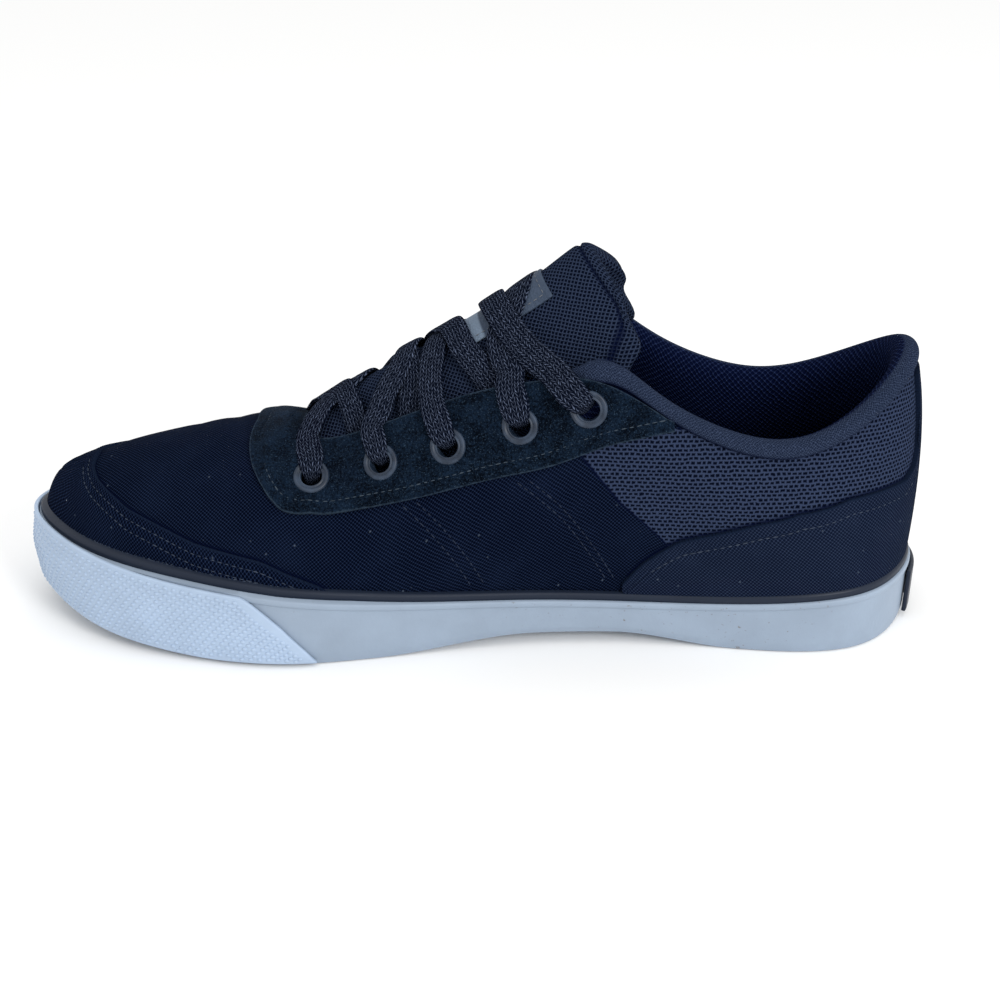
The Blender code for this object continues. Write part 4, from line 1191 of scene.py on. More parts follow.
def dot_rows():
    """Places of the toe strip's dots, in staggered rows down from its rim."""
    rows = []
    dense = np.linspace(-1, 1, 600)
    wall = bumper_point(dense, BUMPER_RIM, 0.0) - bumper_point(dense, BUMPER_FOOT, 0.0)
    height = np.linalg.norm(wall, axis=1) / (BUMPER_RIM - BUMPER_FOOT)
    for k in range(int(height.max() / DOT_ROW)):
        share = BUMPER_RIM - (DOT_RIM + k * DOT_ROW) / height
        line = bumper_point(dense, share, BUMPER_OUT)
        along = np.gradient(line, axis=0)
        up = np.cross(along, line - bumper_point(dense, share - 0.03, BUMPER_OUT))
        up *= np.sign(np.sum(up * (line - SOLE_MIDDLE), axis=1, keepdims=True))
        run = run_along(line)
        run -= run[len(run) // 2]
        reach = int(run[-1] / DOT_PITCH) + 1
        steps = (np.arange(-reach, reach) + 0.25 + 0.5 * (k % 2)) * DOT_PITCH
        steps = steps[(steps > run[0] + DOT_END) & (steps < run[-1] - DOT_END)]
        places = np.interp(steps, run, np.arange(len(dense)))
        places = places[np.interp(places, np.arange(len(dense)), share) > DOT_LOWEST]
        rows.append((between(line, places), unit(between(along, places)), unit(between(up, places))))
    return rows


def make_toe_bumper(material):
    """Rubber strip over the toe with a smooth rim and rows of small raised dots."""
    grid_turn, grid_share = np.meshgrid(np.linspace(-1, 1, 121), BUMPER_SHARES, indexing="ij")
    points = bumper_point(grid_turn, grid_share, BUMPER_SEAT)
    item = new_piece("toe_bumper", [patch(points)], material, SOLE_MIDDLE)
    thicken(item, BUMPER_OUT - BUMPER_SEAT, 1, BUMPER_ROUNDING)
    place_piece(settle(item), "white_rubber", "toe_bumper")
    dot = template("dot", ball_profile(4), 7)
    dots = set_on_places("toe_bumper_dots", dot_rows(), dot, DOT_SIZE, material)
    bpy.data.objects.remove(dot)
    return place_piece(dots, "white_rubber")


BADGE_START, BADGE_LOW, BADGE_HIGH = 12.25, 0.1, 0.86
BADGE_SEAT, BADGE_THICK, BADGE_ROUNDING = BEAD_PROUD + 0.1, 1.4, 0.5


def make_heel_badge(material):
    """Plain plate on the back of the side wall."""
    sides, sections = round_the_heel(fine(BADGE_START, HEEL_BACK, 32))
    shares = np.linspace(BADGE_LOW, BADGE_HIGH, 13)
    points = foxing_point(sides[:, None], sections[:, None], shares[None, :], BADGE_SEAT)
    item = new_piece("heel_badge", [patch(points)], material, SOLE_MIDDLE)
    thicken(item, BADGE_THICK, 1, BADGE_ROUNDING)
    return place_piece(settle(item), "black_rubber", "heel_badge")


FOXING_LAP = 0.2
SLAB_STATIONS, SLAB_STRIPS = 10, 16


def slab_patches(inset, low, middle, high):
    """Underside, top and upright rim of a slab that follows the floor line."""
    sections = fine(0, HEEL_BACK, SLAB_STATIONS)
    medial, _ = sole_edge(MEDIAL, sections, inset)
    lateral, _ = sole_edge(LATERAL, sections, inset)
    share = np.linspace(0, 1, SLAB_STRIPS + 1)[None, :, None]
    plan = medial[:, None] * (1 - share) + lateral[:, None] * share
    floor = floor_up(plan[..., 0], plan[..., 1])
    edge, _ = sole_edge(*round_the_sole(SLAB_STATIONS), inset)
    foot = floor_up(edge[:, 0], edge[:, 1])
    walls = [upright(edge, foot + up) for up in (low, middle, high)]
    under = patch(upright(plan, floor + low))
    over = patch(upright(plan, floor + high))
    return [under, over, patch(np.stack(walls, 1))]


def make_slabs(rubber, lining):
    """Outsole inside the side wall, and the sock liner on it."""
    sole = slab_patches(FOXING_WALL - FOXING_LAP, 0.0, OUTSOLE_THICK / 2, OUTSOLE_THICK)
    place_piece(settle(new_piece("outsole", sole, rubber)), "white_rubber", "outsole")
    low = OUTSOLE_THICK + GAP
    inset = FOXING_WALL + UPPER_WALL + 2 * GAP
    insole = slab_patches(inset, low, low + INSOLE_THICK / 2, low + INSOLE_THICK)
    place_piece(settle(new_piece("insole", insole, lining)), "lining", "insole")


# Upper and the panels on it
EYESTAY_OUT, EYESTAY_ROUNDING, OVERLAY_OUT, OVERLAY_ROUNDING = 1.3, 0.45, 1.35, 0.35
SEAT = -0.25
EYELET_HOLE, HOLE_DEPTH, EYELET_OUT, EYELET_STEPS = 3.6, 14.0, EYESTAY_OUT + 0.1, (0.0, 0.25, 0.5)
PRESSED_FLAT, PRESSED_FADE, PRESSED_REACH = 5.0, 5.0, 6.0
ROLL_HANG, ROLL_DEEPER, ROLL_FRONT, ROLL_FRONT_WIDTH = 2.6, 0.3, 7.75, 0.4
# Sections where the painted shade under the collar's roll starts and fades out, and the length of its
# fade
ROLL_START, ROLL_FADE, ROLL_FADE_LENGTH = 7.0, 10.2, 0.8
BRIDGE_END, BRIDGE_RADIUS = 4.62, 30.0
THROAT_FRONT, THROAT_WIDTH, THROAT_LOW_SHARE, THROAT_SHARES = 4.05, 0.3, 0.8, 0.15
PANEL_STEP, PANEL_LOW, PANEL_LEAST, HEEL_TURN = 24.0, 1.2, 0.01, 8
NO_EDGE, FAR_OFF = 9.0, 50.0
GROOVE_DEPTH, GROOVE_WIDTH, SUEDE_GROOVE_WIDTH = 0.3, 0.55, 0.6
# Rows of thread, by their distances in from a panel's edge
GUARD_THREADS, COUNTER_THREADS, SUEDE_THREAD_IN = (3.2, 6.4), (4.6,), 3.6
# Soft folds and a bulge of the cloth: middle and width in sections, then in shares, and height
ReliefRow = namedtuple("ReliefRow", "section width share spread out")
RELIEF = (
    ReliefRow(3.35, 0.10, 0.78, 0.16, -0.45),
    ReliefRow(2.95, 0.10, 0.72, 0.18, -0.315),
    ReliefRow(8.90, 0.80, 0.72, 0.18, 0.9),
)


def collar_hang(section):
    """How much deeper the collar's roll hangs, which is most at its front."""
    return 1 + ROLL_DEEPER * hump(section, ROLL_FRONT, ROLL_FRONT_WIDTH)


def panel_front_distance(section, share):
    """Distance behind the open-weave panel's front seam, in millimetres, negative in front of it."""
    line_share = [row.share for row in PANEL_SEAM][::-1]
    line_section = [row.section for row in PANEL_SEAM][::-1]
    seam = np.interp(share, line_share, line_section)
    return (section - seam) * PANEL_STEP


def painted_shade_distance(points, section, share):
    """Distance above the nearer panel's edge or below the collar's roll, in millimetres, where painted
    shade is laid on the upper; far off where there is none.
    """
    wall = np.linalg.norm(np.diff(points, axis=1), axis=-1).sum(axis=1)[:, None]
    guard = np.where(section > TOE_GUARD_EDGE[-1].section, NO_EDGE, edge_share(TOE_GUARD_EDGE, section))
    counter = np.where(section < COUNTER_EDGE[0].section, NO_EDGE, edge_share(COUNTER_EDGE, section))
    edge = np.where(section < BALL + 2, guard, counter)
    above = np.clip((share - edge) * wall, -FAR_OFF, FAR_OFF)
    # Painted shade also lies below the collar's roll, from ROLL_START, fading out towards the back
    below_roll = (1 - share) * wall - ROLL_HANG * collar_hang(section)
    below_roll = below_roll + FAR_OFF * ease((section - ROLL_FADE) / ROLL_FADE_LENGTH)
    below_roll = np.where(section < ROLL_START, FAR_OFF, below_roll)
    return np.where(np.abs(below_roll) < np.abs(above), below_roll, above)


def upper_relief(section, share):
    """Height of the cloth's folds and bulge at a place."""
    relief = 0.0
    for row in RELIEF:
        relief += row.out * hump(section, row.section, row.width) * hump(share, row.share, row.spread)
    return relief


def cloth_uv(side, points, section):
    """Map in millimetres: along the shoe, and down from the ridge or the top edge."""
    steps = np.linalg.norm(np.diff(points[..., 1:], axis=1), axis=-1)
    below = np.cumsum(steps[:, ::-1], axis=1)[:, ::-1]
    below = np.hstack((below, np.zeros((len(below), 1))))
    start = np.abs(points[:, -1:, 1] + CENTRE_SIDE)
    base = points[:, 0, :2]
    turn = np.linalg.norm(np.diff(base, axis=0), axis=1) - np.abs(np.diff(base[:, 0]))
    turn = np.where(section[1:] > HEEL_TURN, turn, 0.0)
    round_heel = np.concatenate(((0.0,), np.cumsum(turn)))
    along = points[..., 0] + round_heel[:, None]
    return np.stack((along, side * (start + below)), -1)


def eyelet_place(side, eyelet, out):
    """Place and axis of an eyelet, which evens out the cloth about it."""
    normals = [upper_normal(side, eyelet.section + step, eyelet.share) for step in EYELET_STEPS]
    axis = unit(sum(normals))
    return upper_point(side, eyelet.section, eyelet.share) + out * axis, axis


def seated(points, side):
    """Points of a sheet, pressed flat round the eyelets."""
    for eyelet in EYELETS:
        centre, axis = eyelet_place(side, eyelet, 0.0)
        height = (points - centre) @ axis
        away = np.linalg.norm(points - centre - height[..., None] * axis, axis=-1)
        press = (1 - ease((away - PRESSED_FLAT) / PRESSED_FADE)) * (np.abs(height) < PRESSED_REACH)
        points = points - (press * (height - SEAT))[..., None] * axis
    return points


def hole_cutter():
    """All ten eyelet holes as one cutter."""
    build = bmesh.new()
    for side in SIDES:
        for eyelet in EYELETS:
            centre, axis = eyelet_place(side, eyelet, 0.0)
            turn = Vector(axis).to_track_quat("Z", "Y").to_matrix().to_4x4()
            turn.translation = Vector(centre) * MM
            bmesh.ops.create_cone(
                build,
                cap_ends=True,
                segments=24,
                radius1=EYELET_HOLE * MM,
                radius2=EYELET_HOLE * MM,
                depth=HOLE_DEPTH * MM,
                matrix=turn,
            )
    mesh = bpy.data.meshes.new("eyelet_holes")
    build.to_mesh(mesh)
    build.free()
    item = bpy.data.objects.new("eyelet_holes", mesh)
    bpy.context.scene.collection.objects.link(item)
    item.hide_render = True
    return item


def cut(item, cutter):
    """Takes the cutter's shape out of a piece."""
    modifier = item.modifiers.new("Holes", "BOOLEAN")
    modifier.operation = "DIFFERENCE"
    modifier.object = cutter
    modifier.solver = "EXACT"


def make_upper(material, cutter):
    """Hollow shell of cloth, open at the collar, at the throat and underneath."""
    patches = []
    section = fine(0, HEEL_BACK, 14)
    share = np.linspace(0, 1, 45)
    for side in SIDES:
        grid_section, grid_share = np.meshgrid(section, share, indexing="ij")
        relief = upper_relief(grid_section, grid_share)
        points = seated(upper_skin(side, grid_section, grid_share, relief), side)
        behind = panel_front_distance(grid_section, grid_share)
        # The second map holds the distance from the lines of painted shade
        edges = np.stack((behind, painted_shade_distance(points, grid_section, grid_share)), -1)
        patches.append(patch(points, cloth_uv(side, points, section), edges))
    item = new_piece("upper", patches, material, SHOE_MIDDLE)
    thicken(item, UPPER_WALL, -1)
    cut(item, cutter)
    return place_piece(settle(item), "canvas", "upper")


def stripe_clear_share(side, section):
    """Share of the wall behind the black line, where the panels begin."""
    edge, _ = sole_edge(side, section)
    return upper_share_at(side, section, wall_top_up(edge[..., 0]) + PANEL_LOW)


def panel_patch(side, sections, low, high, steps, groove):
    """A panel's grid between two shares of the wall, sunk along its rows of thread."""
    part = np.linspace(0, 1, steps + 1)[None, :]
    share = low[:, None] + (high - low)[:, None] * part
    section = np.broadcast_to(sections[:, None], share.shape)
    side = np.broadcast_to(np.asarray(side), share.shape)
    flat = patch(upper_skin(side, section, share, SEAT))
    below_edge = flat.edges[..., 1]
    sunk = sum(hump(below_edge, row, GROOVE_WIDTH) for row in groove) * GROOVE_DEPTH
    return patch(upper_skin(side, section, share, SEAT - sunk), flat.uv, flat.edges)


def overlay_patch(sides, sections, edge_rows, steps, threads):
    """Grid of a panel from the black line up to its own edge."""
    low = stripe_clear_share(sides, sections)
    high = np.maximum(edge_share(edge_rows, sections), low + PANEL_LEAST)
    return panel_patch(sides[:, None], sections, low, high, steps, threads)


def make_overlay(name, patches, material):
    """Canvas panel sewn over the upper."""
    item = new_piece(name, patches, material, SHOE_MIDDLE)
    thicken(item, OVERLAY_OUT - SEAT, 1, OVERLAY_ROUNDING)
    return place_piece(settle(item), "canvas", name)


# Stations set closer together where a panel's edge turns sharply
GUARD_TURN = (1.03, 1.06, 1.10, 1.16, 1.2, 1.25, 1.3, 1.4)
COUNTER_TURN = np.linspace(12.3, 12.56, 14)


def make_toe_guard(material):
    """Canvas round the toe, in two halves that meet on the ridge."""
    sections = np.union1d(fine(0, TOE_GUARD_EDGE[-1].section, 16), GUARD_TURN)
    patches = []
    for side in SIDES:
        sides = np.full(len(sections), side)
        patches.append(overlay_patch(sides, sections, TOE_GUARD_EDGE, 22, GUARD_THREADS))
    return make_overlay("toe_guard", patches, material)


def make_heel_counter(material):
    """Canvas round the heel, with the tab up its back."""
    stations = np.union1d(fine(COUNTER_EDGE[0].section, HEEL_BACK, 16), COUNTER_TURN)
    sides, sections = round_the_heel(stations)
    grid = overlay_patch(sides, sections, COUNTER_EDGE, 26, COUNTER_THREADS)
    return make_overlay("heel_counter", [grid], material)


def eyestay_place(row, part):
    """Section and share of the suede: row runs along it, part from its lower edge to the throat."""
    strip = EYESTAY(row)
    part = np.asarray(part)[..., None]
    place = strip[..., :2] * (1 - part) + strip[..., 2:] * part
    return place[..., 0], np.minimum(place[..., 1], 1.0)


def suede_skin(side, section, share, out):
    """Points off the upper for the suede, straight up where the throat's front turns across."""
    turn = hump(section, THROAT_FRONT, THROAT_WIDTH) * ease((share - THROAT_LOW_SHARE) / THROAT_SHARES)
    normal = upper_normal(side, section, share) * (1 - turn[..., None])
    normal[..., 2] += turn
    return upper_point(side, section, share) + np.asarray(out)[..., None] * unit(normal)


def throat_bridge(medial, lateral):
    """Suede that closes the very front of the throat, from one edge over to the other."""
    across = np.linspace(0, 1, 13)[None, :, None]
    points = medial[:, None] * (1 - across) + lateral[:, None] * across
    span = np.linalg.norm(medial - lateral, axis=1)[:, None]
    points[..., 2] += span**2 / (2 * BRIDGE_RADIUS) * (across * (1 - across))[..., 0]
    from_end = np.linalg.norm(points - points[-1:], axis=-1)
    return patch(points, None, np.stack((from_end, np.full_like(from_end, NO_EDGE)), -1))


def make_eyestay(material, cutter):
    """Suede round the throat, thick at its raw edges and sunk along its thread."""
    rows = np.linspace(0, len(EYESTAY_ROWS) - 1, 150)
    parts = np.linspace(0, 1, 31)
    grid_row, grid_part = np.meshgrid(rows, parts, indexing="ij")
    section, share = eyestay_place(grid_row, grid_part)
    patches = []
    for side in SIDES:
        flat = patch(suede_skin(side, section, share, SEAT))
        sunk = GROOVE_DEPTH * hump(flat.edges[..., 0], SUEDE_THREAD_IN, SUEDE_GROOVE_WIDTH)
        points = seated(suede_skin(side, section, share, SEAT - sunk), side)
        carries_on = np.where(section[:, -1:] < BRIDGE_END, NO_EDGE, 0.0)
        edges = np.stack((flat.edges[..., 0], flat.edges[..., 1] + carries_on), -1)
        patches.append(patch(points, flat.uv, edges))
    rims = []
    for part in patches:
        ridge = part.points[:1, -2]
        rims.append(np.vstack((ridge, part.points[section[:, -1] < BRIDGE_END, -1])))
    patches.append(throat_bridge(*rims))
    item = new_piece("eyestay", patches, material, SHOE_MIDDLE)
    thicken(item, EYESTAY_OUT - SEAT, 1, EYESTAY_ROUNDING)
    cut(item, cutter)
    return place_piece(settle(item), "suede", "eyestay")


# Collar
CollarRow = namedtuple("CollarRow", "out up")
COLLAR_PROFILE = (
    CollarRow(-0.2, -2.6),
    CollarRow(1.1, -2.3),
    CollarRow(1.9, -0.8),
    CollarRow(1.5, 1.2),
    CollarRow(-0.3, 2.7),
    CollarRow(-2.8, 2.8),
    CollarRow(-5.4, 1.0),
    CollarRow(-7.2, -3.5),
    CollarRow(-7.4, -11.0),
    CollarRow(-6.0, -19.0),
    CollarRow(-3.6, -24.0),
    CollarRow(-2.3, -25.0),
)
COLLAR_START, COLLAR_PAD_FULL, COLLAR_PAD_FRONT = 7.45, 9.0, 0.35
COLLAR_NOSE, COLLAR_NOSE_LENGTH, COLLAR_STEP = 0.3, 0.4, 0.1
COLLAR_RISE, COLLAR_CREST, COLLAR_CREST_WIDTH, COLLAR_RISE_FADE = 2.4, 8.15, 0.45, 6.0


def make_collar(material):
    """Padded roll over the top edge, with the lining hanging inside."""
    profile = natural_spline(range(len(COLLAR_PROFILE)), COLLAR_PROFILE)
    rows = profile(np.linspace(0, len(COLLAR_PROFILE) - 1, 45))
    sides, sections = round_the_heel(fine(COLLAR_START, HEEL_BACK, 16))
    top = upper_point(sides, sections, 1.0)
    rise = top - upper_point(sides, sections, 1 - COLLAR_STEP)
    drop = np.linalg.norm(rise, axis=1) / COLLAR_STEP
    full = ease((sections - COLLAR_START) / (COLLAR_PAD_FULL - COLLAR_START))
    nose = COLLAR_NOSE + (1 - COLLAR_NOSE) * ease((sections - COLLAR_START) / COLLAR_NOSE_LENGTH)
    front = COLLAR_RISE * hump(sections, COLLAR_CREST, COLLAR_CREST_WIDTH)
    columns = []
    for k, (out, up) in enumerate(rows):
        hang = np.where((k < len(rows) // 4) & (up < 0), collar_hang(sections), 1.0)
        padding = max(-out - UPPER_WALL - GAP, 0)
        depth = out * np.where(out > 0, nose, 1.0) + padding * (1 - COLLAR_PAD_FRONT) * (1 - full)
        share = np.minimum(1 + up * hang / drop, 1.0)
        column = upper_skin(sides, sections, share, depth)
        lift = max(up, 0) * nose + front * ease(up / COLLAR_RISE_FADE + 1)
        columns.append(column + unit(rise) * lift[:, None])
    columns.append(columns[0])
    grid = np.stack(columns, 1)
    item = new_piece("collar", [patch(grid), *end_caps(grid, grid.mean(axis=1))], material)
    place_piece(settle(item), "lining", "collar")
    return item


# Tongue and label
TONGUE_THICK, TONGUE_TOP_THICK, TONGUE_SWELLS, TONGUE_ROUNDS = 4.5, 7.5, 3.6, 4.6
TONGUE_TOP_STEP, TONGUE_SWELL_LENGTH = 14.0, 2.0
# Powers that keep the tongue full up to its rims and its top, and round it there
RIM_POWER, TOP_POWER, ROUND_POWER = 5, 7, 0.4
PIPING, PIPING_WIDTH, PIPING_DEPTH = 3.0, 0.7, 0.75
# Where the tongue stands out: height in millimetres, then middle and width in its rows
Swell = namedtuple("Swell", "height middle width")
FRONT_FILL = Swell(0.8, 0.9, 0.6)
BACK_PAD = Swell(1.5, 5.5, 0.4)
FLARE = Swell(3.4, 5.5, 0.2)
PUFF = Swell(3.8, 5.94, 0.1)
FLARE_WAY, PUFF_WAY = np.array((0.9, 0.0, -0.4)), np.array((0.95, 0.0, -0.1))
PUFF_ACROSS, PUFF_SPREAD = 0.7, 0.38


def swell(row, along):
    return row.height * hump(along, row.middle, row.width)


def tongue_half(along, across):
    """Half the tongue's thickness: round at its rims and thicker towards its top."""
    fuller = ease((along - TONGUE_SWELLS) / TONGUE_SWELL_LENGTH)
    thick = TONGUE_THICK + (TONGUE_TOP_THICK - TONGUE_THICK) * fuller
    rim = (1 - np.minimum(np.abs(across), 1) ** RIM_POWER) ** ROUND_POWER
    past = (along - TONGUE_ROUNDS) / (TONGUE_END - TONGUE_ROUNDS)
    top = (1 - np.clip(past, 0, 1) ** TOP_POWER) ** ROUND_POWER
    return thick / 2 * rim * top


def make_tongue(material):
    """Padded tongue: front and back faces that meet round its rim."""
    across = np.sin(np.linspace(-1, 1, 49) * math.pi / 2)
    rounding = np.sin(np.linspace(0, math.pi / 2, 30)) * (TONGUE_END - TONGUE_ROUNDS)
    along = np.concatenate((np.linspace(0, TONGUE_ROUNDS, 40)[:-1], TONGUE_ROUNDS + rounding))
    grid_along, grid_across = np.meshgrid(along, across, indexing="ij")
    half = tongue_half(grid_along, grid_across)
    width = TONGUE(along)[:, 2][:, None]
    from_rim = width * (1 - np.abs(grid_across))
    from_top = (TONGUE_END - grid_along) * TONGUE_TOP_STEP - 1.0
    pinch = [hump(distance, PIPING, PIPING_WIDTH) for distance in (from_rim, from_top)]
    pinch = PIPING_DEPTH * np.maximum(*pinch)
    middle = -TONGUE_THICK / 2
    padding = swell(BACK_PAD, grid_along) * half / half.max()
    flare = swell(FLARE, grid_along) * np.abs(grid_across) ** 3
    puff = swell(PUFF, grid_along) * hump(grid_across, PUFF_ACROSS, PUFF_SPREAD)
    hang = flare[..., None] * FLARE_WAY + puff[..., None] * PUFF_WAY
    faces = []
    for out in (middle + half - pinch + swell(FRONT_FILL, grid_along), middle - half - padding):
        points = tongue_point(grid_along, grid_across, out) + hang
        over = lengths(points, 1)
        over = over - over[:, len(across) // 2][:, None]
        down = lengths(points[:, len(across) // 2][:, None], 0)
        cloth = np.stack((np.broadcast_to(down, over.shape), over), -1)
        faces.append(patch(points, cloth, np.stack((from_rim, from_top), -1)))
    item = new_piece("tongue", faces, material)
    place_piece(settle(item, TONGUE_CREASE), "canvas", "tongue")
    return item


LABEL_ALONG, LABEL_ACROSS = (3.45, 4.78), 0.33
LABEL_SEAT, LABEL_THICK, LABEL_ROUNDING, LABEL_THREAD_OUT = -0.1, 0.95, 0.3, 0.9
LABEL_THREAD_IN, LABEL_THREAD_PITCH = (0.1, 0.05), 2.0


def label_point(along, across, out):
    """Points at a height over the tongue's padded front."""
    return tongue_point(along, across, tongue_half(along, across) - TONGUE_THICK / 2 + out)


def make_label(material):
    """Plain patch on the tongue; gives the places of the stitches round it."""
    along = np.linspace(*LABEL_ALONG, 25)
    across = np.linspace(-LABEL_ACROSS, LABEL_ACROSS, 19)
    points = label_point(along[:, None], across[None, :], LABEL_SEAT)
    item = new_piece("tongue_label", [patch(points)], material, (0, 0, 0))
    thicken(item, LABEL_THICK, 1, LABEL_ROUNDING)
    place_piece(settle(item), "label", "tongue_label")
    low, high = LABEL_ALONG[0] + LABEL_THREAD_IN[0], LABEL_ALONG[1] - LABEL_THREAD_IN[0]
    wide = LABEL_ACROSS - LABEL_THREAD_IN[1]
    corners = ((low, -wide), (high, -wide), (high, wide), (low, wide), (low, -wide))
    rows = []
    for (along_a, across_a), (along_b, across_b) in zip(corners, corners[1:]):
        run = np.linspace(0, 1, 40)
        place = (along_a + (along_b - along_a) * run, across_a + (across_b - across_a) * run)
        line = label_point(*place, LABEL_THREAD_OUT)
        up = label_point(*place, LABEL_THREAD_OUT + 1) - line
        rows.append(row_of_places(line, up, LABEL_THREAD_PITCH))
    return rows


# Eyelets and lace
RingRow = namedtuple("RingRow", "radius up")
EYELET_PROFILE = (
    RingRow(3.2, -3.4),
    RingRow(3.2, 0.1),
    RingRow(3.28, 0.36),
    RingRow(3.45, 0.45),
    RingRow(3.65, 0.36),
    RingRow(3.8, 0.2),
    RingRow(4.0, 0.2),
    RingRow(4.2, 0.42),
    RingRow(4.55, 0.6),
    RingRow(5.0, 0.55),
    RingRow(5.3, 0.32),
    RingRow(5.45, -0.1),
    RingRow(5.3, -0.25),
    RingRow(3.5, -0.25),
    RingRow(3.5, -3.4),
    RingRow(3.2, -3.4),
)


def make_eyelets(material):
    """Rolled metal rings through the suede, five on each side."""
    places = []
    for side in SIDES:
        for eyelet in EYELETS:
            centre, axis = eyelet_place(side, eyelet, EYELET_OUT)
            along = np.cross(axis, (0, 0, 1.0))
            places.append((centre[None], unit(along)[None], axis[None]))
    ring = template("ring", EYELET_PROFILE, 32)
    item = set_on_places("eyelets", places, ring, (1.0, 1.0, 1.0), material)
    bpy.data.objects.remove(ring)
    nodes = [f"eyelet_{name}_{k}" for name in ("medial", "lateral") for k in range(1, 6)]
    return place_piece(item, "eyelet_metal", *nodes)


LACE_WIDTHS, LACE_THICK, LACE_OVER_SUEDE, LACE_STEP = (7.6, 7.4, 8.0, 8.8), 1.4, 2.3, 0.7
LACE_MOST_DROOP, LACE_PROBE = 2.5, 0.02
# Powers that square off the strap's section, and how much thicker it is where it is gathered
LACE_FLAT, LACE_ROUND, LACE_GATHER = 0.55, 0.8, 0.35
# How a strand comes out of its eyelet and goes into the last one: its rise along the eyelet's
# axis, its run from the centre, how far its face turns to the axis and back, share of its width.
ThroughRow = namedtuple("ThroughRow", "rise run to_axis turned_back width")
LACE_OUT = (
    ThroughRow(-4.0, 0.2, 0.0, 1.0, 0.62),
    ThroughRow(0.3, 0.8, 1.0, 1.0, 0.66),
    ThroughRow(2.5, 2.6, 1.0, 0.6, 0.86),
    ThroughRow(2.9, 5.8, 1.0, 0.0, 1.0),
)
LACE_IN = (
    ThroughRow(3.6, 6.5, 1.0, 0.0, 1.0),
    ThroughRow(2.6, 2.8, 1.0, 0.6, 0.86),
    ThroughRow(0.4, 0.9, 1.0, 1.0, 0.66),
    ThroughRow(-4.0, 0.2, 0.0, 1.0, 0.62),
)
# Routes of the lace over the tongue, by crossing and side. across runs from the strand's own
# side (-1) to the other one (1), over is the height of its middle above the tongue.
LaceRow = namedtuple("LaceRow", "tongue_row across over")
LACE_ROUTES = {
    (1, MEDIAL): (
        LaceRow(1.42, -0.33, 4.4),
        LaceRow(1.58, -0.19, 3.0),
        LaceRow(1.75, -0.07, 1.9),
        LaceRow(1.97, -0.03, 1.4),
        LaceRow(2.12, 0.02, 1.3),
        LaceRow(2.22, 0.15, 1.3),
        LaceRow(2.13, 0.45, 1.2),
        LaceRow(2.05, 0.70, 0.8),
    ),
    (1, LATERAL): (
        LaceRow(1.42, -0.33, 4.2),
        LaceRow(1.58, -0.19, 2.9),
        LaceRow(1.80, -0.06, 2.3),
        LaceRow(1.94, 0.06, 2.2),
        LaceRow(1.98, 0.16, 2.2),
        LaceRow(1.99, 0.30, 2.0),
        LaceRow(1.95, 0.45, 1.5),
        LaceRow(1.90, 0.65, 0.8),
    ),
    (2, MEDIAL): (
        LaceRow(2.30, -0.52, 4.6),
        LaceRow(2.44, -0.43, 3.6),
        LaceRow(2.58, -0.34, 3.0),
        LaceRow(2.71, -0.26, 2.6),
        LaceRow(2.83, -0.16, 2.5),
        LaceRow(2.93, 0.00, 2.5),
        LaceRow(2.94, 0.21, 2.4),
        LaceRow(2.82, 0.40, 1.9),
        LaceRow(2.70, 0.53, 1.3),
        LaceRow(2.62, 0.70, 0.8),
    ),
    (2, LATERAL): (
        LaceRow(2.30, -0.52, 4.6),
        LaceRow(2.50, -0.40, 3.0),
        LaceRow(2.70, -0.25, 1.7),
        LaceRow(2.86, -0.05, 1.1),
        LaceRow(2.91, 0.12, 1.1),
        LaceRow(2.89, 0.24, 1.2),
        LaceRow(2.81, 0.41, 1.3),
        LaceRow(2.70, 0.54, 1.1),
        LaceRow(2.62, 0.70, 0.8),
    ),
    (3, MEDIAL): (
        LaceRow(3.03, -0.57, 5.0),
        LaceRow(3.08, -0.46, 3.8),
        LaceRow(3.14, -0.35, 2.6),
        LaceRow(3.21, -0.23, 1.8),
        LaceRow(3.28, -0.10, 1.3),
        LaceRow(3.38, 0.07, 1.2),
        LaceRow(3.52, 0.30, 1.4),
        LaceRow(3.60, 0.49, 1.5),
        LaceRow(3.63, 0.61, 1.3),
        LaceRow(3.66, 0.78, 0.8),
    ),
    (3, LATERAL): (
        LaceRow(3.03, -0.57, 5.0),
        LaceRow(3.12, -0.38, 3.2),
        LaceRow(3.26, -0.19, 2.4),
        LaceRow(3.40, -0.06, 2.4),
        LaceRow(3.50, 0.06, 2.7),
        LaceRow(3.55, 0.32, 2.7),
        LaceRow(3.60, 0.49, 2.2),
        LaceRow(3.63, 0.61, 1.5),
        LaceRow(3.66, 0.78, 0.8),
    ),
    (4, MEDIAL): (
        LaceRow(3.91, -0.68, 5.2),
        LaceRow(3.92, -0.58, 3.8),
        LaceRow(3.93, -0.48, 2.8),
        LaceRow(4.02, -0.36, 2.0),
        LaceRow(4.17, -0.25, 1.8),
        LaceRow(4.40, -0.07, 1.8),
        LaceRow(4.50, 0.15, 2.0),
        LaceRow(4.46, 0.50, 3.2),
        LaceRow(4.42, 0.74, 7.6),
    ),
    (4, LATERAL): (
        LaceRow(3.91, -0.68, 5.2),
        LaceRow(3.93, -0.48, 3.2),
        LaceRow(4.00, -0.15, 2.6),
        LaceRow(4.06, 0.10, 3.4),
        LaceRow(4.11, 0.37, 4.0),
        LaceRow(4.18, 0.57, 5.2),
        LaceRow(4.27, 0.69, 6.8),
        LaceRow(4.35, 0.78, 8.6),
    ),
}


Strand = namedtuple("Strand", "point facing width on_tongue")


def through_eyelet(rows, side, eyelet, aim):
    """Part of a strand that passes through an eyelet, towards or from a point beside it."""
    centre, axis = eyelet_place(side, eyelet, 0.0)
    toward = unit(aim - centre)
    strand = []
    for row in rows:
        point = centre + row.rise * axis + row.run * toward
        strand.append(Strand(point, row.to_axis * axis - row.turned_back * toward, row.width, None))
    return strand


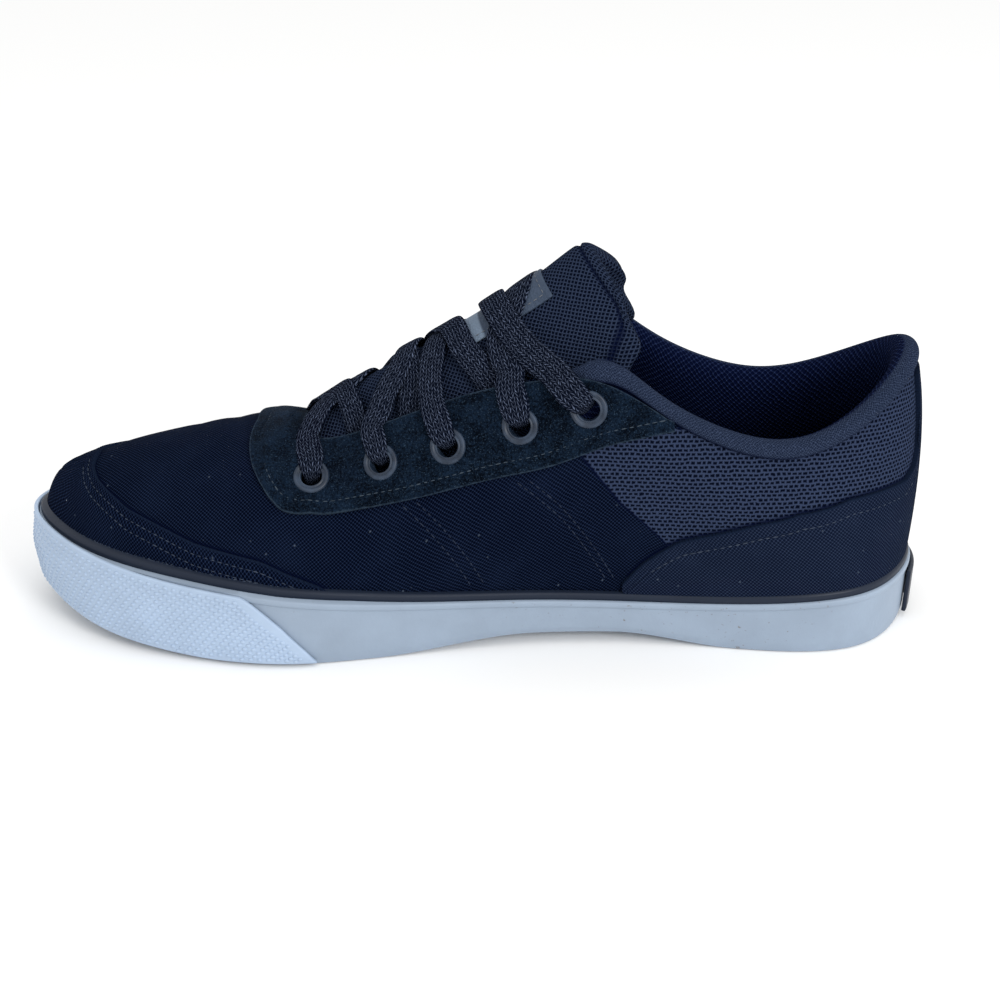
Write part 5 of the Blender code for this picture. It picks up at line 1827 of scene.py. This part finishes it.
def lace_route(side, number):
    """Places of a strand from its eyelet over the suede's edge and the tongue."""
    eyelet, target = EYELETS[number - 1], EYELETS[number]
    edge = (side, eyelet.edge_section, 1.0)
    strand = through_eyelet(LACE_OUT, side, eyelet, upper_point(*edge))
    strand.append(Strand(upper_skin(*edge, LACE_OVER_SUEDE), upper_normal(*edge), 1.0, None))
    for row in LACE_ROUTES[number, side]:
        place = (row.tongue_row, -side * row.across)
        facing = unit(tongue_point(*place, 10.0) - tongue_point(*place))
        strand.append(Strand(tongue_point(*place, row.over), facing, 1.0, (*place, row.over)))
    if number == len(EYELETS) - 1:
        strand += through_eyelet(LACE_IN, -side, target, strand[-1].point)
    return strand


def edge_droop(place, reach, up):
    """How far a strap's edge hangs below its flat plane where it bends over the tongue."""
    if place is None:
        return 0.0
    place = np.array(place)
    ways = []
    for step in np.array(((LACE_PROBE, 0, 0), (0, LACE_PROBE, 0))):
        way = tongue_point(*(place + step)) - tongue_point(*(place - step))
        ways.append(way / (2 * LACE_PROBE))
    moved = np.linalg.lstsq(np.stack(ways, 1), reach, rcond=None)[0]
    lies = tongue_point(*(place + (*moved, 0)))
    return float(np.clip(np.dot(tongue_point(*place) + reach - lies, up), 0.0, LACE_MOST_DROOP))


def strand_patches(side, number):
    """Flat strap with rounded edges along its route, bent over the tongue and closed at both ends."""
    rows = lace_route(side, number)
    points = np.array([row.point for row in rows])
    facing = unit(np.array([row.facing for row in rows]))
    wide = np.array([[row.width] for row in rows])
    knots = run_along(points)
    run = np.linspace(0, knots[-1], int(knots[-1] / LACE_STEP))
    path = natural_spline(knots, points)(run)
    over = natural_spline(knots, facing)(run)
    full = LACE_WIDTHS[number - 1]
    width = full * natural_spline(knots, wide)(run)
    forward = np.gradient(path, axis=0)
    across = unit(np.cross(forward, over))
    up = unit(np.cross(across, forward))
    at_rows = np.searchsorted(run, knots[:-1])
    droop = []
    for turn in (-1, 1):
        reach = turn * full / 2 * across
        hangs = [edge_droop(row.on_tongue, reach[i], up[i]) for row, i in zip(rows, at_rows)]
        droop.append(np.interp(run, knots[:-1], hangs))
    angles = np.linspace(0, 2 * math.pi, 25)
    flat = np.sign(np.cos(angles)) * np.abs(np.cos(angles)) ** LACE_FLAT
    thick = np.sign(np.sin(angles)) * np.abs(np.sin(angles)) ** LACE_ROUND
    body = LACE_THICK * (1 + LACE_GATHER * (1 - width / full))
    bent = np.where(flat < 0, droop[0][:, None], droop[1][:, None]) * flat**2
    grid = (
        path[:, None]
        + across[:, None] * (width * flat / 2)[..., None]
        + up[:, None] * (body * thick / 2 - bent)[..., None]
    )
    v = np.broadcast_to(flat * full / 2, (len(run), len(angles)))
    uv = np.stack((np.broadcast_to(run[:, None], v.shape), v), -1)
    return [patch(grid, uv), *end_caps(grid, path)]


def make_laces(material):
    """Both strands of each crossing as one piece."""
    for number in range(1, len(EYELETS)):
        patches = [part for side in SIDES for part in strand_patches(side, number)]
        item = settle(new_piece(f"lace_cross_{number}", patches, material))
        place_piece(item, "lace", f"lace_cross_{number}")


# Rows of thread
STITCH_PITCH, FRAY_PITCH, THREAD_SUNK = 2.2, 0.95, 0.25
# Half sizes of a stitch, of a loose end of cloth and of a stitch on the label
STITCH, FRAY, LABEL_STITCH = (0.85, 0.19, 0.19), (0.6, 0.13, 0.13), (0.7, 0.17, 0.17)
GUARD_RUN, COUNTER_RUN, FRAY_RUN = (1.12, 4.5), (8.1, 12.2), (1.3, 4.7)
QUARTER_APART, EDGE_STEP = 0.06, 0.02
FRAY_RISE, FRAY_TURN, FRAY_LEAN = 0.008, 2.4, 0.9


def edge_row(side, sections, edge_rows, below, out):
    """A line of thread at a distance below a panel's edge."""
    shares = edge_share(edge_rows, sections)
    points = upper_point(side, sections, shares)
    lower = upper_point(side, sections, np.maximum(shares - EDGE_STEP, 0))
    step = np.linalg.norm(points - lower, axis=-1) / EDGE_STEP
    shares = shares - below / step
    return line_on_upper(side, sections, shares, out)


def thread_rows():
    """Every row of thread on the overlaid panels, on the quarter and on the suede."""
    cloth, quarter, suede = [], [], []
    for side in SIDES:
        for below in GUARD_THREADS:
            sections = fine(*GUARD_RUN, 30)
            cloth.append(edge_row(side, sections, TOE_GUARD_EDGE, below, OVERLAY_OUT - THREAD_SUNK))
        for below in COUNTER_THREADS:
            sections = fine(*COUNTER_RUN, 30)
            cloth.append(edge_row(side, sections, COUNTER_EDGE, below, OVERLAY_OUT - THREAD_SUNK))
        run = np.linspace(0, 1, 60)
        for top, foot in QUARTER_SEAMS:
            for shift in (-QUARTER_APART, QUARTER_APART):
                section = top.section + (foot.section - top.section) * run + shift
                share = top.share + (foot.share - top.share) * run
                quarter.append(line_on_upper(side, section, share, 0.0))
        rows = np.linspace(0, len(EYESTAY_ROWS) - 1.2, 400)
        section, share = eyestay_place(rows, np.zeros(rows.shape))
        top_section, top_share = eyestay_place(rows, np.ones(rows.shape))
        across = upper_point(side, top_section, top_share) - upper_point(side, section, share)
        section, share = eyestay_place(rows, SUEDE_THREAD_IN / np.linalg.norm(across, axis=-1))
        points, normals = line_on_upper(side, section, share, SEAT)
        suede.append((seated(points, side) + (EYESTAY_OUT - SEAT - THREAD_SUNK) * normals, normals))
    return cloth, quarter, suede


def fray_rows():
    """Loose ends of cloth along the dark line at the toe, on both sides."""
    rows = []
    for side in SIDES:
        sections = fine(*FRAY_RUN, 40)
        share = stripe_clear_share(side, sections) + FRAY_RISE
        points, normals = line_on_upper(side, sections, share, OVERLAY_OUT)
        places, along, up = row_of_places(points, normals, FRAY_PITCH)
        lean = np.sin(FRAY_TURN * np.arange(len(places)))[:, None]
        rows.append((places, unit(along + lean * np.array((0, 0, FRAY_LEAN))), up))
    return rows


def stitched(lines):
    """Places of the stitches along each line."""
    return [row_of_places(points, normals, STITCH_PITCH) for points, normals in lines]


def make_threads(label_rows):
    """Stitches along the panels' edges, the quarter's seams, the suede and the label, and loose ends of
    cloth at the toe.
    """
    stitch = template("stitch", ball_profile(4), 6)
    cloth, quarter, suede = map(stitched, thread_rows())
    canvas = thread_finish("cloth thread", CLOTH_THREAD)
    dark = thread_finish("quarter thread", QUARTER_THREAD)
    nap = thread_finish("suede thread", SUEDE_THREAD)
    pale = thread_finish("pale thread", LABEL_THREAD)
    for name, rows, size, material, slot, unevenness, seed in (
        ("cloth_threads", cloth, STITCH, canvas, "canvas", 0.3, 3),
        ("quarter_threads", quarter, STITCH, dark, "canvas", 0.3, 4),
        ("suede_threads", suede, STITCH, nap, "suede", 0.3, 5),
        ("frayed_ends", fray_rows(), FRAY, canvas, "canvas", 0.7, 9),
        ("label_threads", label_rows, LABEL_STITCH, pale, "label", 0.1, 7),
    ):
        place_piece(set_on_places(name, rows, stitch, size, material, unevenness, seed), slot)
    bpy.data.objects.remove(stitch)


# Floor, light and camera
CAMERA_AIM = (0.0085, -0.002, 0.0325)
CAMERA_DISTANCE, CAMERA_AZIMUTH, CAMERA_ELEVATION = 0.450, 1.4, 26.0
CAMERA_LENS, CAMERA_SENSOR, CAMERA_NEAR = 51.0, 36.0, 0.01
FLOOR_SIZE = 6.0
Lamp = namedtuple("Lamp", "name azimuth elevation distance size power")
LAMPS = (Lamp("overhead", 20, 65, 1.2, 0.9, 1.5), Lamp("front", 38, 28, 1.2, 0.4, 6.0))


def looking_back(azimuth, elevation):
    """Direction from the aim to a camera or light; azimuth 0 looks along +Y."""
    a, e = math.radians(azimuth), math.radians(elevation)
    return Vector((math.sin(a) * math.cos(e), -math.cos(a) * math.cos(e), math.sin(e)))


def aimed(name, data, azimuth, elevation, distance):
    """A camera or light at a distance from the aim, turned to it."""
    item = bpy.data.objects.new(name, data)
    back = looking_back(azimuth, elevation)
    item.location = Vector(CAMERA_AIM) + back * distance
    item.rotation_euler = back.to_track_quat("Z", "Y").to_euler()
    bpy.context.scene.collection.objects.link(item)
    return item


def add_lamp(lamp):
    data = bpy.data.lights.new(lamp.name, "AREA")
    data.shape = "DISK"
    data.size = lamp.size
    data.energy = lamp.power
    aimed(lamp.name, data, lamp.azimuth, lamp.elevation, lamp.distance)


def add_studio():
    """Pale floor, white room, soft lamps, and the camera at the photograph's angle."""
    scene = bpy.context.scene
    scene.view_settings.view_transform = "Standard"
    bpy.ops.mesh.primitive_plane_add(size=FLOOR_SIZE)
    floor = bpy.context.object
    floor.name = "floor"
    material, _, _ = finish_material("pale floor", FLOOR_PALE, 0.9, Specular_IOR_Level=0.0)
    floor.data.materials.append(material)
    world = bpy.data.worlds.new("soft room")
    scene.world = world
    world.use_nodes = True
    background = world.node_tree.nodes["Background"]
    background.inputs["Color"].default_value = (1.0, 1.0, 1.0, 1.0)
    background.inputs["Strength"].default_value = 1.0
    for lamp in LAMPS:
        add_lamp(lamp)
    data = bpy.data.cameras.new("camera")
    data.lens = CAMERA_LENS
    data.sensor_width = CAMERA_SENSOR
    data.clip_start = CAMERA_NEAR
    scene.camera = aimed("camera", data, CAMERA_AZIMUTH, CAMERA_ELEVATION, CAMERA_DISTANCE)


def main():
    """Makes every piece in turn, then the studio round them."""
    black = rubber_finish("black rubber", BLACK_RUBBER, 0.4, gloss=0.2)
    cutter = hole_cutter()
    make_slabs(rubber_finish("sole rubber", WHITE_RUBBER, 0.6), sock_finish())
    make_foxing(rubber_finish("white rubber", WHITE_RUBBER, 0.5, marks=0.8))
    make_stripe(black)
    # The toe strip gets a lighter copy of the white rubber, painted as more strongly lit
    make_toe_bumper(rubber_finish("toe rubber", TOE_RUBBER_PAINTED_LIT, 0.5))
    make_heel_badge(black)
    make_upper(upper_finish(), cutter)
    make_toe_guard(canvas_finish("guard canvas", CANVAS))
    make_heel_counter(canvas_finish("counter canvas", COUNTER))
    make_eyestay(suede_finish(), cutter)
    bpy.data.objects.remove(cutter)
    make_collar(collar_finish())
    make_tongue(tongue_finish())
    label_rows = make_label(label_finish())
    make_eyelets(enamel_finish())
    make_laces(lace_finish())
    make_threads(label_rows)
    add_studio()


main()
